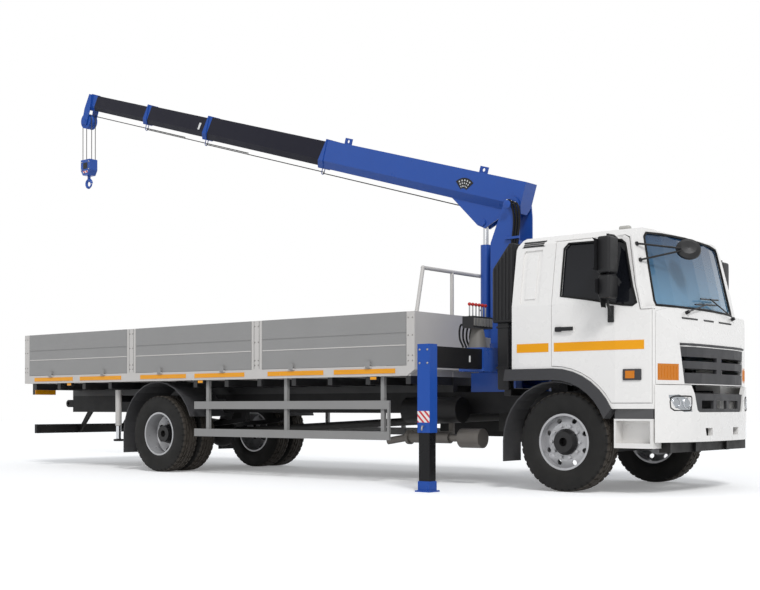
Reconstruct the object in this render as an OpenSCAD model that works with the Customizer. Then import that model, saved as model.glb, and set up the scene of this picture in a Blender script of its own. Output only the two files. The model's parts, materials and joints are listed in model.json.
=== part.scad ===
// Flat-bed truck with a telescopic crane between the cab and the platform.
// Millimetres. +X is forward, +Y is left, +Z is up, and the ground is z = 0.
// Modules place pieces from the front axle; at_origin() then centres the truck.

/* [Wheels] */
// Outside diameter of a tyre
tyre_d = 1040; // [960:10:1060]
// Width of a tyre
tyre_w = 280; // [240:5:290]
// Diameter of a rim over its flanges
rim_d = 597; // [540:1:620]
// Distance between the front and the rear axle
wheelbase = 6300; // [5800:50:6800]
// Distance between the middles of the front tyres
front_track = 2060; // [2000:10:2080]
// Width over the outer faces of the rear tyres
rear_width = 2430; // [2380:10:2440]
// Distance between the middles of two twin tyres
twin_gap = 325; // [310:5:350]
// Number of nuts on a wheel
nut_count = 10; // [6:1:12]
// Number of hand holes in a wheel disc
hand_holes = 8; // [5:1:9]

/* [Chassis] */
// Width over the two chassis rails
frame_w = 850; // [800:10:880]
// Height of a chassis rail
rail_h = 250; // [220:5:280]
// Height of the top of the rails
frame_top = 1060; // [1040:5:1080]
// Width of a rail's flanges
rail_flange = 80; // [60:5:100]
// Thickness of a rail
rail_t = 10; // [6:1:14]
// Reach of the rails ahead of the front axle
frame_front = 950; // [880:10:980]
// Length of the air tank
air_tank_l = 800; // [600:10:900]
// Diameter of the air tank
air_tank_d = 300; // [240:10:320]
// Length of the fuel tank
fuel_tank_l = 1050; // [800:10:1100]
// Diameter of the exhaust pipe
exhaust_d = 130; // [100:5:150]

/* [Cab] */
// Width of the cab at the doors
cab_w = 2400; // [2360:10:2420]
// How far each side of the cab runs in towards the nose
cab_taper = 50; // [30:1:60]
// Height of the roof above the ground
roof_z = 2750; // [2720:5:2800]
// Distance of the cab's back behind the front axle
cab_back = 600; // [580:5:640]
// Reach of the cab's front ahead of the front axle
cab_front_x = 1208; // [1190:1:1220]
// Thickness of the cab's walls
wall_t = 50; // [40:1:56]
// Thickness of a door
door_t = 60; // [58:1:66]
// Gap all round a door
door_gap = 6; // [5:0.5:8]
// Thickness of the glass
glass_t = 8; // [5:0.5:12]
// Reach of the bumper ahead of the front axle
bumper_x = 1250; // [1235:1:1270]
// Height of the bumper's top
bumper_top = 1020; // [1000:5:1030]
// Height of the bumper's bottom
bumper_bottom = 530; // [500:5:560]
// Number of bars in the grille
grille_bars = 3; // [2:1:4]

/* [Platform] */
// Length of the platform over its boards
platform_l = 7440; // [7200:20:7600]
// Width of the platform
platform_w = 2530; // [2500:5:2550]
// Distance of the platform's front behind the front axle
platform_front = 1855; // [1840:5:1900]
// Height of the platform's floor
floor_z = 1355; // [1330:5:1380]
// Height of the side rail under the floor
side_rail_h = 115; // [90:5:120]
// Height of the top of the boards
board_top = 1970; // [1850:10:2050]
// Thickness of a board
board_t = 28; // [22:1:32]
// Width of a post at a corner of the platform
post_w = 116; // [90:2:130]
// Width of a post between two boards
mid_post_w = 180; // [140:5:200]
// Height of the rack on the front board
rack_top = 2479; // [2350:5:2600]
// Diameter of the rack's tubes
rack_d = 45; // [35:1:55]
// Outer diameter of a board's hinge
hinge_d = 22; // [18:1:24]

/* [Crane] */
// Distance of the slewing axis behind the front axle
slew_x = 1400; // [1390:1:1420]
// Height of the boom's pivot
pivot_z = 3250; // [3220:5:3300]
// Distance of the boom's pivot ahead of the slewing axis
pivot_dx = 115; // [100:1:130]
// Angle of the boom above the horizontal
boom_angle = 16.7; // [10:0.1:30]
// Width of the column across its cheeks
column_w = 300; // [290:2:330]
// Depth of the column from back to front
column_l = 400; // [380:5:420]
// Thickness of the column's cheeks
cheek_t = 16; // [12:1:18]
// Diameter of the boom's pivot pin
pivot_d = 70; // [50:1:80]
// Diameter of the lift cylinder's barrel
barrel_d = 130; // [110:1:140]
// Diameter of the lift cylinder's rod
rod_d = 70; // [50:1:80]

/* [Boom] */
// Height of the first boom section
boom_h = 370; // [360:2:390]
// Width of the first boom section
boom_w = 240; // [230:2:250]
// Step in height from one section to the next
boom_step = 44; // [40:1:46]
// Step in width from one section to the next
boom_step_w = 36; // [32:1:38]
// Thickness of a section's wall
boom_wall = 8; // [6:0.5:10]
// Length of the first section ahead of the pivot
base_l = 3170; // [3100:10:3250]
// How far the second section is out
out_2 = 2390; // [2390:10:2450]
// How far the third section is out
out_3 = 1405; // [1405:5:1500]
// How far the fourth section is out
out_4 = 1430; // [1405:5:1500]
// Length of a section that stays inside the one before it at full reach
boom_hold = 500; // [400:10:520]
// Full travel of a section
boom_travel = 2300; // [2300:10:2380]

/* [Hook] */
// Length of the ropes between the boom's head and the hook block
fall_l = 640; // [400:10:900]
// Diameter of the rope
rope_d = 12; // [8:1:16]
// Width of the hook block
block_w = 230; // [200:5:260]
// Diameter of the sheaves in the boom's head
sheave_d = 210; // [180:5:230]

/* [Outriggers] */
// Distance from the truck's middle to a leg
leg_y = 2000; // [1900:10:2080]
// Travel of an outrigger beam
beam_travel = 850; // [700:10:880]
// Height of an outrigger beam
beam_h = 220; // [200:5:240]
// Width of an outrigger beam
beam_w = 130; // [110:2:140]
// Height of the middle of the beams
beam_z = 1410; // [1390:5:1420]
// Size of a leg's sleeve along the truck
sleeve_x = 160; // [150:2:180]
// Size of a leg's sleeve across the truck
sleeve_y = 130; // [120:2:150]
// Wall of a sleeve
sleeve_t = 10; // [8:1:14]
// Height of the bottom of a sleeve
sleeve_bottom = 615; // [560:5:640]
// Travel of a leg
leg_travel = 450; // [300:10:460]

/* [Fits] */
// Play of a pin, rod or slide
play = 0.5; // [0.3:0.1:0.9]
// Clearance between pieces that move past one another
clear = 6; // [5:0.5:8]

/* [Hidden] */
$fn = 48;

white = [0.86, 0.85, 0.83];
black = [0.05, 0.05, 0.055];
plastic = [0.22, 0.22, 0.23];
blue = [0.10, 0.24, 0.56];
navy = [0.06, 0.06, 0.13];
grey = [0.52, 0.52, 0.51];
light_grey = [0.74, 0.73, 0.72];
silver = [0.66, 0.66, 0.68];
amber = [0.95, 0.55, 0.05];
glass = [0.35, 0.45, 0.50, 0.5];

// Boards on each side of the platform
bays = 3;

// Places along the truck, from the front axle
axle_z = tyre_d / 2;
rear_x = -wheelbase;
front_y = front_track / 2;
rear_y = (rear_width - tyre_w) / 2;
twin_y = rear_y - twin_gap / 2;
bed_front = -platform_front;
bed_back = bed_front - platform_l;
bed_y = platform_w / 2;
bay_l = (platform_l - post_w) / bays;
rail_out = frame_w / 2;
frame_bottom = frame_top - rail_h;
frame_back = bed_back + 60;
under_bar_x = frame_front + 180;
kingpin_y = front_y - tyre_w / 2 + 10;
kingpin_r = 42;
rear_guard_r = axle_z + 180;
guard_in = twin_y - twin_gap / 2 - tyre_w / 2 - 20;
guard_reach = rear_guard_r + 80;
hanger_front = 780;
hanger_rear = 820;
eye_h = 150;
spindle_r = 45;

// Crane places
column_x = -slew_x;
turn_z = beam_z + beam_h / 2 + 55;
column_foot = turn_z + 60;
pivot_x = column_x + pivot_dx;
column_back = column_x - column_l / 2 + 30;
column_fore = column_x + column_l / 2 + 30;
rod_arm = 450;
rod_drop = 150;
barrel_x = pivot_x - rod_arm;
rod_eye_z = pivot_z - rod_drop;
barrel_foot_z = column_foot + 150;
barrel_top = barrel_foot_z + 1050;
lug_in = barrel_d / 2 + clear;
boom_lift = 115;
head_t = base_l + out_2 + out_3 + out_4;
hang_t = head_t + 15;
hang_n = boom_lift - (boom_h - 3 * boom_step) / 2 - 190;
hang_x = pivot_x - hang_t * cos(boom_angle) + hang_n * sin(boom_angle);
hang_z = pivot_z + hang_t * sin(boom_angle) + hang_n * cos(boom_angle);
rope_r = rope_d / 2;
loop_r = sheave_d / 2 + play;
sheave_rim = 14;
rear_reach = max(block_w / 2, loop_r + rope_d, sheave_d / 2 + sheave_rim);
origin_x = (rear_reach - hang_x - bumper_x) / 2;

// Cab places
cab_y = cab_w / 2;
arch_x = -100;
arch_r = 765;
flare_r = 645;
ledge_z = axle_z + arch_r;
sill_z = 865;
nose_z = 1110;
grille_top = 1500;
cowl_z = 1880;
cowl_x = 1050;
belt_z = 1850;
screen_top_z = 2620;
screen_top_x = 880;
door_front = 1005;
door_back = -112;
door_bottom = 925;
door_arch_r = arch_r + 25;
hinge_x = door_front - door_t / 2;
door_pin_r = 12;
hinge_room = door_t / 2 + 1.6 * door_gap;
nose_x = hinge_x + hinge_room + 6;
taper_x = 620;
taper_k = cab_taper / (nose_x - taper_x);
hinge_y = cab_y - taper_k * (hinge_x - taper_x) - door_t / 2;
pillar_x = 875;
pillar_top_x = 722;
frame_w_door = 38;
bed_bottom = floor_z - side_rail_h;
beam_x_right = column_x + 270;
beam_x_left = beam_x_right - beam_w - 30;
box_half = leg_y - beam_travel - sleeve_y / 2 - clear;

module at_origin() {
    translate([origin_x, 0, 0]) children();
}

module both_sides() {
    children();
    mirror([0, 1, 0]) children();
}

// A box from one corner to the other
module block(low, high) {
    translate(low) cube(high - low);
}

// An outline in x and z, drawn out from y0 to y1
module along_y(y0, y1) {
    translate([0, y1, 0]) rotate([90, 0, 0]) linear_extrude(y1 - y0) children();
}

// An outline in y and z, drawn out from x0 to x1
module along_x(x0, x1) {
    translate([x0, 0, 0]) rotate([90, 0, 90]) linear_extrude(x1 - x0) children();
}

module rod_y(x, z, r, y0, y1) {
    translate([x, y1, z]) rotate([90, 0, 0]) cylinder(r = r, h = y1 - y0);
}

module rod_x(y, z, r, x0, x1) {
    translate([x0, y, z]) rotate([0, 90, 0]) cylinder(r = r, h = x1 - x0);
}

module rod_z(x, y, r, z0, z1) {
    translate([x, y, z0]) cylinder(r = r, h = z1 - z0);
}

function arc(c, r, from, to, steps) =
    [for (i = [0:steps]) let (a = from + (to - from) * i / steps) c + r * [cos(a), sin(a)]];

function mirrored(half) =
    concat(half, [for (i = [len(half) - 1:-1:0]) if (half[i].y != 0) [half[i].x, -half[i].y]]);

function turned(half) =
    concat(half, [for (i = [len(half) - 1:-1:0]) if (half[i].x != 0) [-half[i].x, half[i].y]]);

function left_of(a, b) = let (u = (b - a) / norm(b - a)) [-u.y, u.x];

// The outline moved inwards by d; its points run anticlockwise
function inset(p, d) =
    [for (i = [0:len(p) - 1])
        let (n = len(p), m = left_of(p[(i + n - 1) % n], p[i]), k = left_of(p[i], p[(i + 1) % n]))
        p[i] + d * (m + k) / (1 + m * k)];

// A bent bar of even thickness along an arc, as an outline
function band(c, r0, r1, from, to, steps) =
    concat(arc(c, r1, from, to, steps), arc(c, r0, to, from, steps));

// Outlines of the cab: from the side, from the front, and across the nose and the screen
cab_side = concat(
    [[-cab_back, ledge_z]],
    arc([arch_x, axle_z], arch_r, 90, asin((sill_z - axle_z) / arch_r), 7),
    [[nose_x, sill_z], [nose_x, nose_z], [cab_front_x - 8, nose_z], [cab_front_x, grille_top],
     [cowl_x, cowl_z], [screen_top_x, screen_top_z], [800, roof_z - 45], [300, roof_z],
     [-440, roof_z - 15], [-cab_back + 40, roof_z - 80], [-cab_back, roof_z - 190]]);
cab_end = turned([[cab_y, 0], [cab_y, 1950], [cab_y - 105, 2600], [cab_y - 190, roof_z - 60],
    [cab_y - 500, roof_z - 12], [0, roof_z + 2]]);
nose_y = cab_y - cab_taper;
nose_plan = mirrored([[cab_front_x + 14, 0], [cab_front_x - 2, 400], [cab_front_x - 46, 700],
    [cab_front_x - 100, 860], [cab_front_x - 148, nose_y - 150], [nose_x + 8, nose_y - 35],
    [nose_x - 14, nose_y + 14 * taper_k], [taper_x, cab_y], [-2000, cab_y]]);
cowl_plan = mirrored([[0, 0], [-8, 400], [-20, 750], [-35, 1000], [-45, 1130],
    [-55, cab_y + 2], [-3000, cab_y + 2]]);
screen_plan = mirrored([[0, 0], [-12, 300], [-38, 600], [-74, 820], [-118, 1000], [-133, 1110],
    [-145, 1170], [-168, cab_y + 3], [-3000, cab_y + 3]]);

// How far the side leans in at a height above the belt
function side_lean(z) = 105 * (z - 1950) / 650;

// A plan drawn out along a slope in the x-z plane, well past both of its ends
module raked(plan, foot, head) {
    run = head - foot;
    past = 1500;
    lean = atan2(-run.x, run.y);
    translate([foot.x, 0, foot.y]) rotate([0, -lean, 0])
        translate([0, 0, -past]) linear_extrude(norm(run) + 2 * past) polygon(plan);
}

// The cab as its end view and its plan bound it, moved inwards by d
module cab_sides(d) {
    intersection() {
        along_x(-2000, 2000) polygon(inset(cab_end, d));
        linear_extrude(roof_z + 50) polygon(inset(nose_plan, d));
    }
}

// The cab's outer form, moved inwards by d
module cab_form(d) {
    intersection() {
        along_y(-cab_y - 10, cab_y + 10) polygon(inset(cab_side, d));
        cab_sides(d);
        union() {
            block([-2000, -2000, 0], [2000, 2000, grille_top]);
            intersection() {
                raked(inset(cowl_plan, d), [cab_front_x, grille_top], [cowl_x, cowl_z]);
                block([-2000, -2000, grille_top], [2000, 2000, cowl_z]);
            }
            intersection() {
                raked(inset(screen_plan, d), [cowl_x, cowl_z], [screen_top_x, screen_top_z]);
                block([-2000, -2000, cowl_z], [2000, 2000, roof_z + 50]);
            }
        }
    }
}

module cab_walls() {
    difference() {
        cab_form(0);
        difference() {
            cab_form(wall_t);
            block([-2000, -rail_out - 80, 0], [nose_x, rail_out + 80, ledge_z + wall_t]);
        }
        block([-2000, -rail_out - 30, 0], [nose_x + 1, rail_out + 30, ledge_z]);
    }
}

// Outline of the door as seen from the side, grown by d
module door_outline(d) {
    polygon(concat(
        [[door_back - d, door_arch_r + axle_z - d]],
        arc([arch_x, axle_z], door_arch_r - d, 90,
            asin((door_bottom - d - axle_z) / (door_arch_r - d)), 7),
        [[hinge_x + 2 * d, door_bottom - d], [hinge_x + 2 * d, belt_z + d], [pillar_x + 2 * d, belt_z + d],
         [pillar_top_x + 2 * d, 2590 + d], [pillar_top_x - 50, 2618 + d], [door_back - d, 2618 + d]]));
}

// Outline of the door's window, grown by d
module window_outline(d) {
    front_low = pillar_x - frame_w_door;
    front_top = pillar_top_x - frame_w_door;
    polygon([[-8 - d, 2035 - d], [300, 1985 - d], [600, 1925 - d], [front_low - 40, 1900 - d],
        [front_low + d, 1925 - d], [front_top + d, 2530 + d], [front_top - 45, 2568 + d], [40, 2580 + d],
        [-8 - d, 2530 + d]]);
}

// Opening of the windscreen, seen from the front
screen_outline = turned([[930, 1915], [945, 1960], [890, 2610], [850, 2650], [0, 2680]]);
rear_window = turned([[560, 2020], [600, 2060], [600, 2440], [560, 2480]]);

module cab_shell() {
    color(white) both_sides() rod_z(hinge_x, -hinge_y, door_pin_r,
        door_bottom - door_gap - 10, belt_z + door_gap + 10);
    color(white) difference() {
        cab_walls();
        both_sides() along_y(-cab_y - 20, -cab_y + 260) door_outline(door_gap);
        both_sides() translate([hinge_x, -hinge_y, 0])
            translate([0, 0, door_bottom - door_gap])
                cylinder(r = hinge_room, h = belt_z - door_bottom + 2 * door_gap);
        block([nose_x, -2000, 0], [2000, 2000, cowl_z]);
        along_x(500, 1400) polygon(screen_outline);
        along_x(-cab_back - 50, 0) polygon(rear_window);
        // Recess behind the door, which follows the lean of the side
        both_sides() translate([0, -cab_y + 16, 1950]) rotate([-atan2(105, 650), 0, 0])
            translate([0, 0, -1950]) along_y(-40, 0)
                polygon([[-505, 1970], [-272, 1970], [-272, 2550], [-480, 2550], [-505, 2520]]);
    }
}

module door() {
    difference() {
        union() {
            difference() {
                intersection() {
                    cab_form(0);
                    along_y(-cab_y - 20, -cab_y + 255) door_outline(0);
                }
                cab_sides(door_t);
                along_y(-cab_y - 30, -cab_y + 300) window_outline(0);
            }
            rod_z(hinge_x, -hinge_y, door_t / 2, door_bottom, belt_z);
        }
        rod_z(hinge_x, -hinge_y, door_pin_r + play, door_bottom - 1, belt_z + 1);
    }
    // Handle
    block([20, -cab_y - 26, 1660], [150, -cab_y + 2, 1715]);
}

module door_right() {
    color(white) door();
}

module door_left() {
    color(white) mirror([0, 1, 0]) door();
}

module door_pane() {
    pane_in = 18;
    difference() {
        intersection() {
            cab_sides(pane_in);
            along_y(-cab_y - 30, -cab_y + 300) window_outline(-play);
        }
        cab_sides(pane_in + glass_t);
    }
}

module door_glass_right() {
    color(glass) door_pane();
}

module door_glass_left() {
    color(glass) mirror([0, 1, 0]) door_pane();
}

// Opening for the grille, seen from the front
lamp_in = 812;
grille_outline = turned([[735, nose_z + 8], [796, grille_top - 8]]);

module corner_lamp_space(d) {
    both_sides() block([nose_x + 12 - d, -cab_y - 10, 1150 - d], [2000, -lamp_in + d, 1315 + d]);
}

module cab_front() {
    color(white) difference() {
        intersection() {
            cab_walls();
            block([nose_x + 3, -2000, 0], [2000, 2000, cowl_z]);
        }
        along_x(nose_x + 20, 1400) polygon(grille_outline);
        corner_lamp_space(0);
    }
}

module bumper_form(d) {
    half = [[bumper_x, 0], [bumper_x - 10, 400], [bumper_x - 48, 700], [bumper_x - 112, 890],
        [bumper_x - 168, 1015], [bumper_x - 208, nose_y - 45], [nose_x + 3, nose_y - 8], [500, nose_y]];
    polygon(inset(mirrored(half), d));
}

bumper_grille = turned([[540, 830], [575, 850], [628, bumper_top + 1]]);
tow_slot = [[265, 590], [405, 590], [425, 668], [265, 668]];
lamp_outline = [[665, 838], [790, 832], [905, 880], [980, 975], [985, 1002], [860, 1008], [735, 965]];
corner_top = nose_z - 8;
corner_in = 690;

module bumper() {
    color(white) {
        difference() {
            translate([0, 0, bumper_bottom]) linear_extrude(corner_top - bumper_bottom)
                difference() {
                    bumper_form(0);
                    bumper_form(wall_t);
                    translate([0, -2000]) square([nose_x + 3, 4000]);
                }
            // The corners rise to the lamps beside the grille
            along_x(900, 1400) polygon(turned([[corner_in - 60, bumper_top], [corner_in, corner_top + 1]]));
            along_x(900, 1400) polygon(bumper_grille);
            both_sides() along_x(900, 1400) polygon(tow_slot);
            both_sides() along_x(nose_x + 10, 1400) polygon(lamp_outline);
        }
        // Arms to the ends of the chassis rails
        both_sides() block([under_bar_x, rail_out - 62, 730], [bumper_x - 30, rail_out - 2, 830]);
    }
}

module headlamps() {
    color(silver) both_sides() intersection() {
        translate([0, 0, bumper_bottom]) linear_extrude(bumper_top - bumper_bottom)
            difference() {
                bumper_form(6);
                bumper_form(wall_t);
            }
        along_x(nose_x + 10, 1400) polygon(inset(lamp_outline, play));
    }
}

module grilles() {
    color(black) {
        difference() {
            intersection() {
                difference() {
                    cab_form(4);
                    cab_form(wall_t - 6);
                }
                along_x(nose_x + 20, 1400) polygon(inset(grille_outline, play));
            }
            // Slots between the bars
            for (i = [1:grille_bars - 1])
                let (z = nose_z + 20 + (grille_top - nose_z - 30) * i / grille_bars)
                    for (side = [-1, 1])
                        block([900, side * 430 - 370, z - 22], [1400, side * 430 + 370, z + 22]);
        }
        difference() {
            intersection() {
                translate([0, 0, bumper_bottom]) linear_extrude(bumper_top - bumper_bottom)
                    difference() {
                        bumper_form(20);
                        bumper_form(wall_t);
                    }
                along_x(900, 1400) polygon(inset(bumper_grille, play));
            }
            for (i = [-1:1])
                block([900, i * 330 - 130, 865], [1400, i * 330 + 130, 950]);
        }
    }
}

module cab_glass() {
    color(glass) {
        intersection() {
            difference() {
                cab_form(14);
                cab_form(14 + glass_t);
            }
            along_x(500, 1400) polygon(inset(screen_outline, play));
        }
        intersection() {
            difference() {
                cab_form(14);
                cab_form(14 + glass_t);
            }
            along_x(-cab_back - 50, 0) polygon(inset(rear_window, play));
        }
    }
}

module seat(y) {
    floor_top = ledge_z + wall_t;
    along_y(y - 240, y + 240)
        polygon([[-350, floor_top], [120, floor_top], [180, floor_top + 260], [-200, floor_top + 290],
            [-300, floor_top + 960], [-420, floor_top + 960], [-400, floor_top + 250]]);
}

module cab_inside() {
    wheel_at = [480, 560, 1800];
    color(plastic) {
        for (y = [-600, 600]) seat(y);
        // Dashboard
        intersection() {
            cab_form(wall_t);
            along_y(-cab_y + 175, cab_y - 175)
                polygon([[640, 1480], [1400, 1480], [1400, 1868], [700, 1850], [620, 1760]]);
        }
        translate(wheel_at) rotate([0, -32, 0]) {
            rotate_extrude() translate([215, 0]) circle(15);
            cylinder(r = 60, h = 20, center = true);
            for (a = [0:120:240]) rotate([0, 0, a]) translate([0, -18, -8]) cube([215, 36, 12]);
            translate([0, 0, -330]) cylinder(r = 32, h = 330);
        }
    }
}

module strut(a, b, d) {
    run = b - a;
    translate(a) rotate([0, acos(run.z / norm(run)), atan2(run.y, run.x)])
        cylinder(d = d, h = norm(run));
}

cowl_foot = [cab_front_x, grille_top];
cowl_head = [cowl_x, cowl_z];
screen_head = [screen_top_x, screen_top_z];

function lean_of(run) = atan2(-run.x, run.y);

// A point on a raked face: at y, s up its slope, and out from it
function on_face(foot, head, plan, y, s, out) =
    let (lean = lean_of(head - foot), bulge = [for (q = plan) if (q.y >= 0 && q.x > -200) [q.y, q.x]],
         u = lookup(abs(y), bulge) + out)
        [foot.x + u * cos(lean) - s * sin(lean), y, foot.y + u * sin(lean) + s * cos(lean)];

function on_screen(y, s, out) = on_face(cowl_head, screen_head, screen_plan, y, s, out);

screen_lean = lean_of(screen_head - cowl_head);

// One blade from y0 to y1 and its arm, on a spindle in the cowl
module wiper(y, y0, y1, up) {
    s = norm(cowl_head - cowl_foot) - 30;
    translate(on_face(cowl_foot, cowl_head, cowl_plan, y, s, 2 * play))
        rotate([0, 90 - lean_of(cowl_head - cowl_foot), 0]) cylinder(d = 36, h = 40);
    strut(on_face(cowl_foot, cowl_head, cowl_plan, y, s, 30), on_screen((y0 + y1) / 2, up, 38), 15);
    strut(on_screen(y0, up - 12, 32), on_screen(y1, up + 12, 32), 16);
}

module wipers() {
    mirror_r = 128;
    mirror_at = [bumper_x - mirror_r, -575, 2490];
    foot_y = 1040;
    color(black) {
        wiper(-485, -270, 280, 80);
        wiper(700, -110, 390, 150);
        // Round mirror ahead of the screen, on two stays from the pillar
        translate(mirror_at) rotate([0, 61, -55]) rotate_extrude()
            polygon([[0, -24], [mirror_r - 14, -24], [mirror_r, -8], [mirror_r - 6, 12],
                [mirror_r * 0.62, 34], [0, 44]]);
        for (s = [520, 690]) {
            strut(on_screen(-foot_y, s, 12), mirror_at, 20);
            translate(on_screen(-foot_y, s, 0)) rotate([0, -screen_lean, 0])
                rotate([0, 0, -atan2(15, 110)]) translate([play, 0, 0])
                    rotate([0, 90, 0]) cylinder(d = 44, h = 14);
        }
    }
}

module mirror_set() {
    arm_y = -cab_y - 190;
    block([600, arm_y - 70, 2215], [680, arm_y + 90, 2560]);
    block([610, arm_y - 60, 1975], [680, arm_y + 100, 2185]);
    strut([640, arm_y, 1930], [640, arm_y, 2600], 24);
    strut([640, arm_y, 1940], [580, -cab_y - 14, 1768], 24);
    strut([640, arm_y, 2590], [600, -cab_y + side_lean(2578) - play, 2590], 24);
    block([550, -cab_y - 24, 1735], [610, -cab_y, 1800]);
}

module mirrors_right() {
    color(black) mirror_set();
}

module mirrors_left() {
    color(black) mirror([0, 1, 0]) mirror_set();
}

module arch_flares() {
    low = asin((765 - axle_z) / flare_r);
    high = asin((sill_z - axle_z) / arch_r);
    outline = concat(
        [[-cab_back - 80, ledge_z]],
        arc([arch_x, axle_z], arch_r, 90, high, 7),
        arc([arch_x, axle_z], flare_r, low, 90, 7),
        [[-cab_back - 100, axle_z + flare_r]]);
    color(plastic) both_sides() along_y(-cab_y - 16, -cab_y + 130) polygon(outline);
}

module cab_steps() {
    foot_x = 585;
    color(white) both_sides() {
        difference() {
            block([foot_x, -cab_y + 42, 470], [nose_x - 10, -cab_y + 230, 765]);
            block([foot_x + 18, -cab_y, 520], [nose_x - 40, -cab_y + 190, 745]);
        }
        // Dark band below the sill, and the arm to the chassis
        block([foot_x + 4, -cab_y + 52, 764], [nose_x - 10, -cab_y + 230, sill_z]);
        block([foot_x + 130, -cab_y + 220, 560], [foot_x + 190, -rail_out, 640]);
        block([foot_x + 130, -rail_out - 60, 560], [foot_x + 190, -rail_out, sill_z - 20]);
    }
}

module mudguards() {
    in_y = front_y - tyre_w / 2 - 60;
    guard_r = 620;
    flap_x = arch_x - guard_r - 15;
    color(plastic) both_sides() {
        along_y(-cab_y + 30, -in_y)
            polygon(band([arch_x, axle_z], guard_r, guard_r + 15, 70, 180, 10));
        block([flap_x, -cab_y + 30, 300], [flap_x + 15, -in_y, axle_z]);
        block([flap_x, -in_y, axle_z - 20], [flap_x + 15, -rail_out, frame_bottom + 60]);
        along_y(-rear_width / 2 - 8, -guard_in)
            polygon(band([rear_x, axle_z], rear_guard_r, rear_guard_r + 15, 20, 180, 12));
        block([rear_x - rear_guard_r - 15, -rear_width / 2 - 8, 250],
            [rear_x - rear_guard_r, -guard_in, axle_z]);
        for (dx = [-500, 500])
            block([rear_x + dx - 20, -guard_in - 60, 930], [rear_x + dx + 20, -rail_out, 1000]);
    }
}

module side_guards() {
    fore = bed_front - 404;
    aft = rear_x + 740;
    out_y = bed_y - 45;
    color(light_grey) both_sides() {
        for (z = [500, 859])
            block([aft, -out_y, z], [fore, -out_y + 30, z + 100]);
        for (x = [aft + 240, (aft + fore) / 2, fore - 110])
            block([x - 25, -out_y + 15, 500], [x + 25, -out_y + 60, bed_bottom]);
        block([fore - 30, -out_y, 500], [fore, -out_y + 30, 959]);
    }
}

module rail_section() {
    difference() {
        square([rail_flange, rail_h]);
        translate([rail_t, rail_t]) square([rail_flange, rail_h - 2 * rail_t]);
    }
}

module chassis_frame() {
    cross_x = [frame_front - 60, column_x - 150, column_x - 900, -3600, -4700, rear_x + 760,
        rear_x - 760, frame_back + 40];
    bar_x = bed_back + 190;
    color(black) {
        both_sides() translate([0, -rail_out, frame_bottom])
            along_x(frame_back, frame_front) rail_section();
        for (x = cross_x)
            block([x, -rail_out + 2, frame_bottom + 20], [x + 60, rail_out - 2, frame_top - 20]);
        // Cab mounts
        both_sides() for (x = [-480, 640])
            block([x, -rail_out + 2, frame_top - 20], [x + 110, -rail_out + 110, ledge_z]);
        // Spring hangers
        both_sides() for (x = [-hanger_front - 80, hanger_front, rear_x - hanger_rear - 80, rear_x + hanger_rear])
            block([x, -rail_out, frame_bottom - 110], [x + 80, -rail_out + rail_flange, frame_bottom]);
        // Bars below the bumper and behind the wheels
        block([under_bar_x - 150, -955, 425], [under_bar_x - 30, 955, bumper_bottom - 5]);
        both_sides() block([under_bar_x - 250, -rail_out + 2, 425], [under_bar_x, -rail_out + 62, frame_bottom + 20]);
        block([bar_x - 30, -1200, 490], [bar_x + 30, 1200, 625]);
        both_sides() along_y(-rail_out, -rail_out + 40)
            polygon([[bar_x - 30, 490], [bar_x + 30, 490], [bar_x + 330, frame_bottom],
                [bar_x + 330, frame_top - 20], [bar_x + 230, frame_top - 20], [bar_x + 230, frame_bottom]]);
        // Tow hooks on the ends of the rails
        both_sides() difference() {
            union() {
                block([frame_back - 130, -rail_out + rail_t - 1, 885], [frame_back + 90, -rail_out + 60, 1000]);
                rod_y(frame_back - 130, 942, 57, -rail_out + rail_t - 1, -rail_out + 60);
            }
            rod_y(frame_back - 130, 942, 26, -rail_out, -rail_out + 70);
        }
        // Rear jacks, folded up
        both_sides() {
            rod_z(rear_x - 1000, -1080, 32, 430, 1130);
            rod_z(rear_x - 1000, -1080, 70, 400, 430);
            block([rear_x - 1030, -1080, frame_top - 100], [rear_x - 970, -rail_out, frame_top - 10]);
        }
    }
}

function spring_line(x, z, drop, half, thick) =
    concat([for (i = [0:8]) let (s = i / 4 - 1) [x + s * half, z + drop * s * s]],
        [for (i = [8:-1:0]) let (s = i / 4 - 1) [x + s * half, z + drop * s * s + thick]]);

module springs(x, z, half) {
    tip = frame_bottom - 70;
    both_sides() along_y(-rail_out, -rail_out + rail_flange)
        polygon(spring_line(x, z, tip - z - 60, half, 60));
}

module front_axle() {
    beam_top = axle_z - 40;
    color(black) {
        difference() {
            union() {
                block([-50, -kingpin_y + 85, beam_top - 90], [50, kingpin_y - 85, beam_top]);
                both_sides() {
                    rod_z(0, -kingpin_y, 60, axle_z - eye_h / 2, axle_z + eye_h / 2);
                    block([-45, -kingpin_y, axle_z - eye_h / 2], [45, -kingpin_y + 120, axle_z + eye_h / 2]);
                    block([-60, -rail_out, beam_top - 20], [60, -rail_out + rail_flange, beam_top + 20]);
                }
            }
            both_sides() rod_z(0, -kingpin_y, kingpin_r + play, 0, 1000);
        }
        springs(0, beam_top + 15, hanger_front);
    }
}

module knuckle() {
    fork = eye_h / 2 + play;
    rod_z(0, -kingpin_y, kingpin_r, axle_z - fork - 40, axle_z + fork + 40);
    for (z = [axle_z - fork - 40, axle_z + fork]) {
        rod_z(0, -kingpin_y, 55, z, z + 40);
        block([-55, -kingpin_y - 110, z], [55, -kingpin_y, z + 40]);
    }
    block([-55, -kingpin_y - 120, axle_z - fork - 40], [55, -kingpin_y - 70, axle_z + fork + 40]);
    rod_y(0, axle_z, spindle_r, -front_y - 60, -kingpin_y - 90);
}

module knuckle_right() {
    color(black) knuckle();
}

module knuckle_left() {
    color(black) mirror([0, 1, 0]) knuckle();
}

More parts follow.
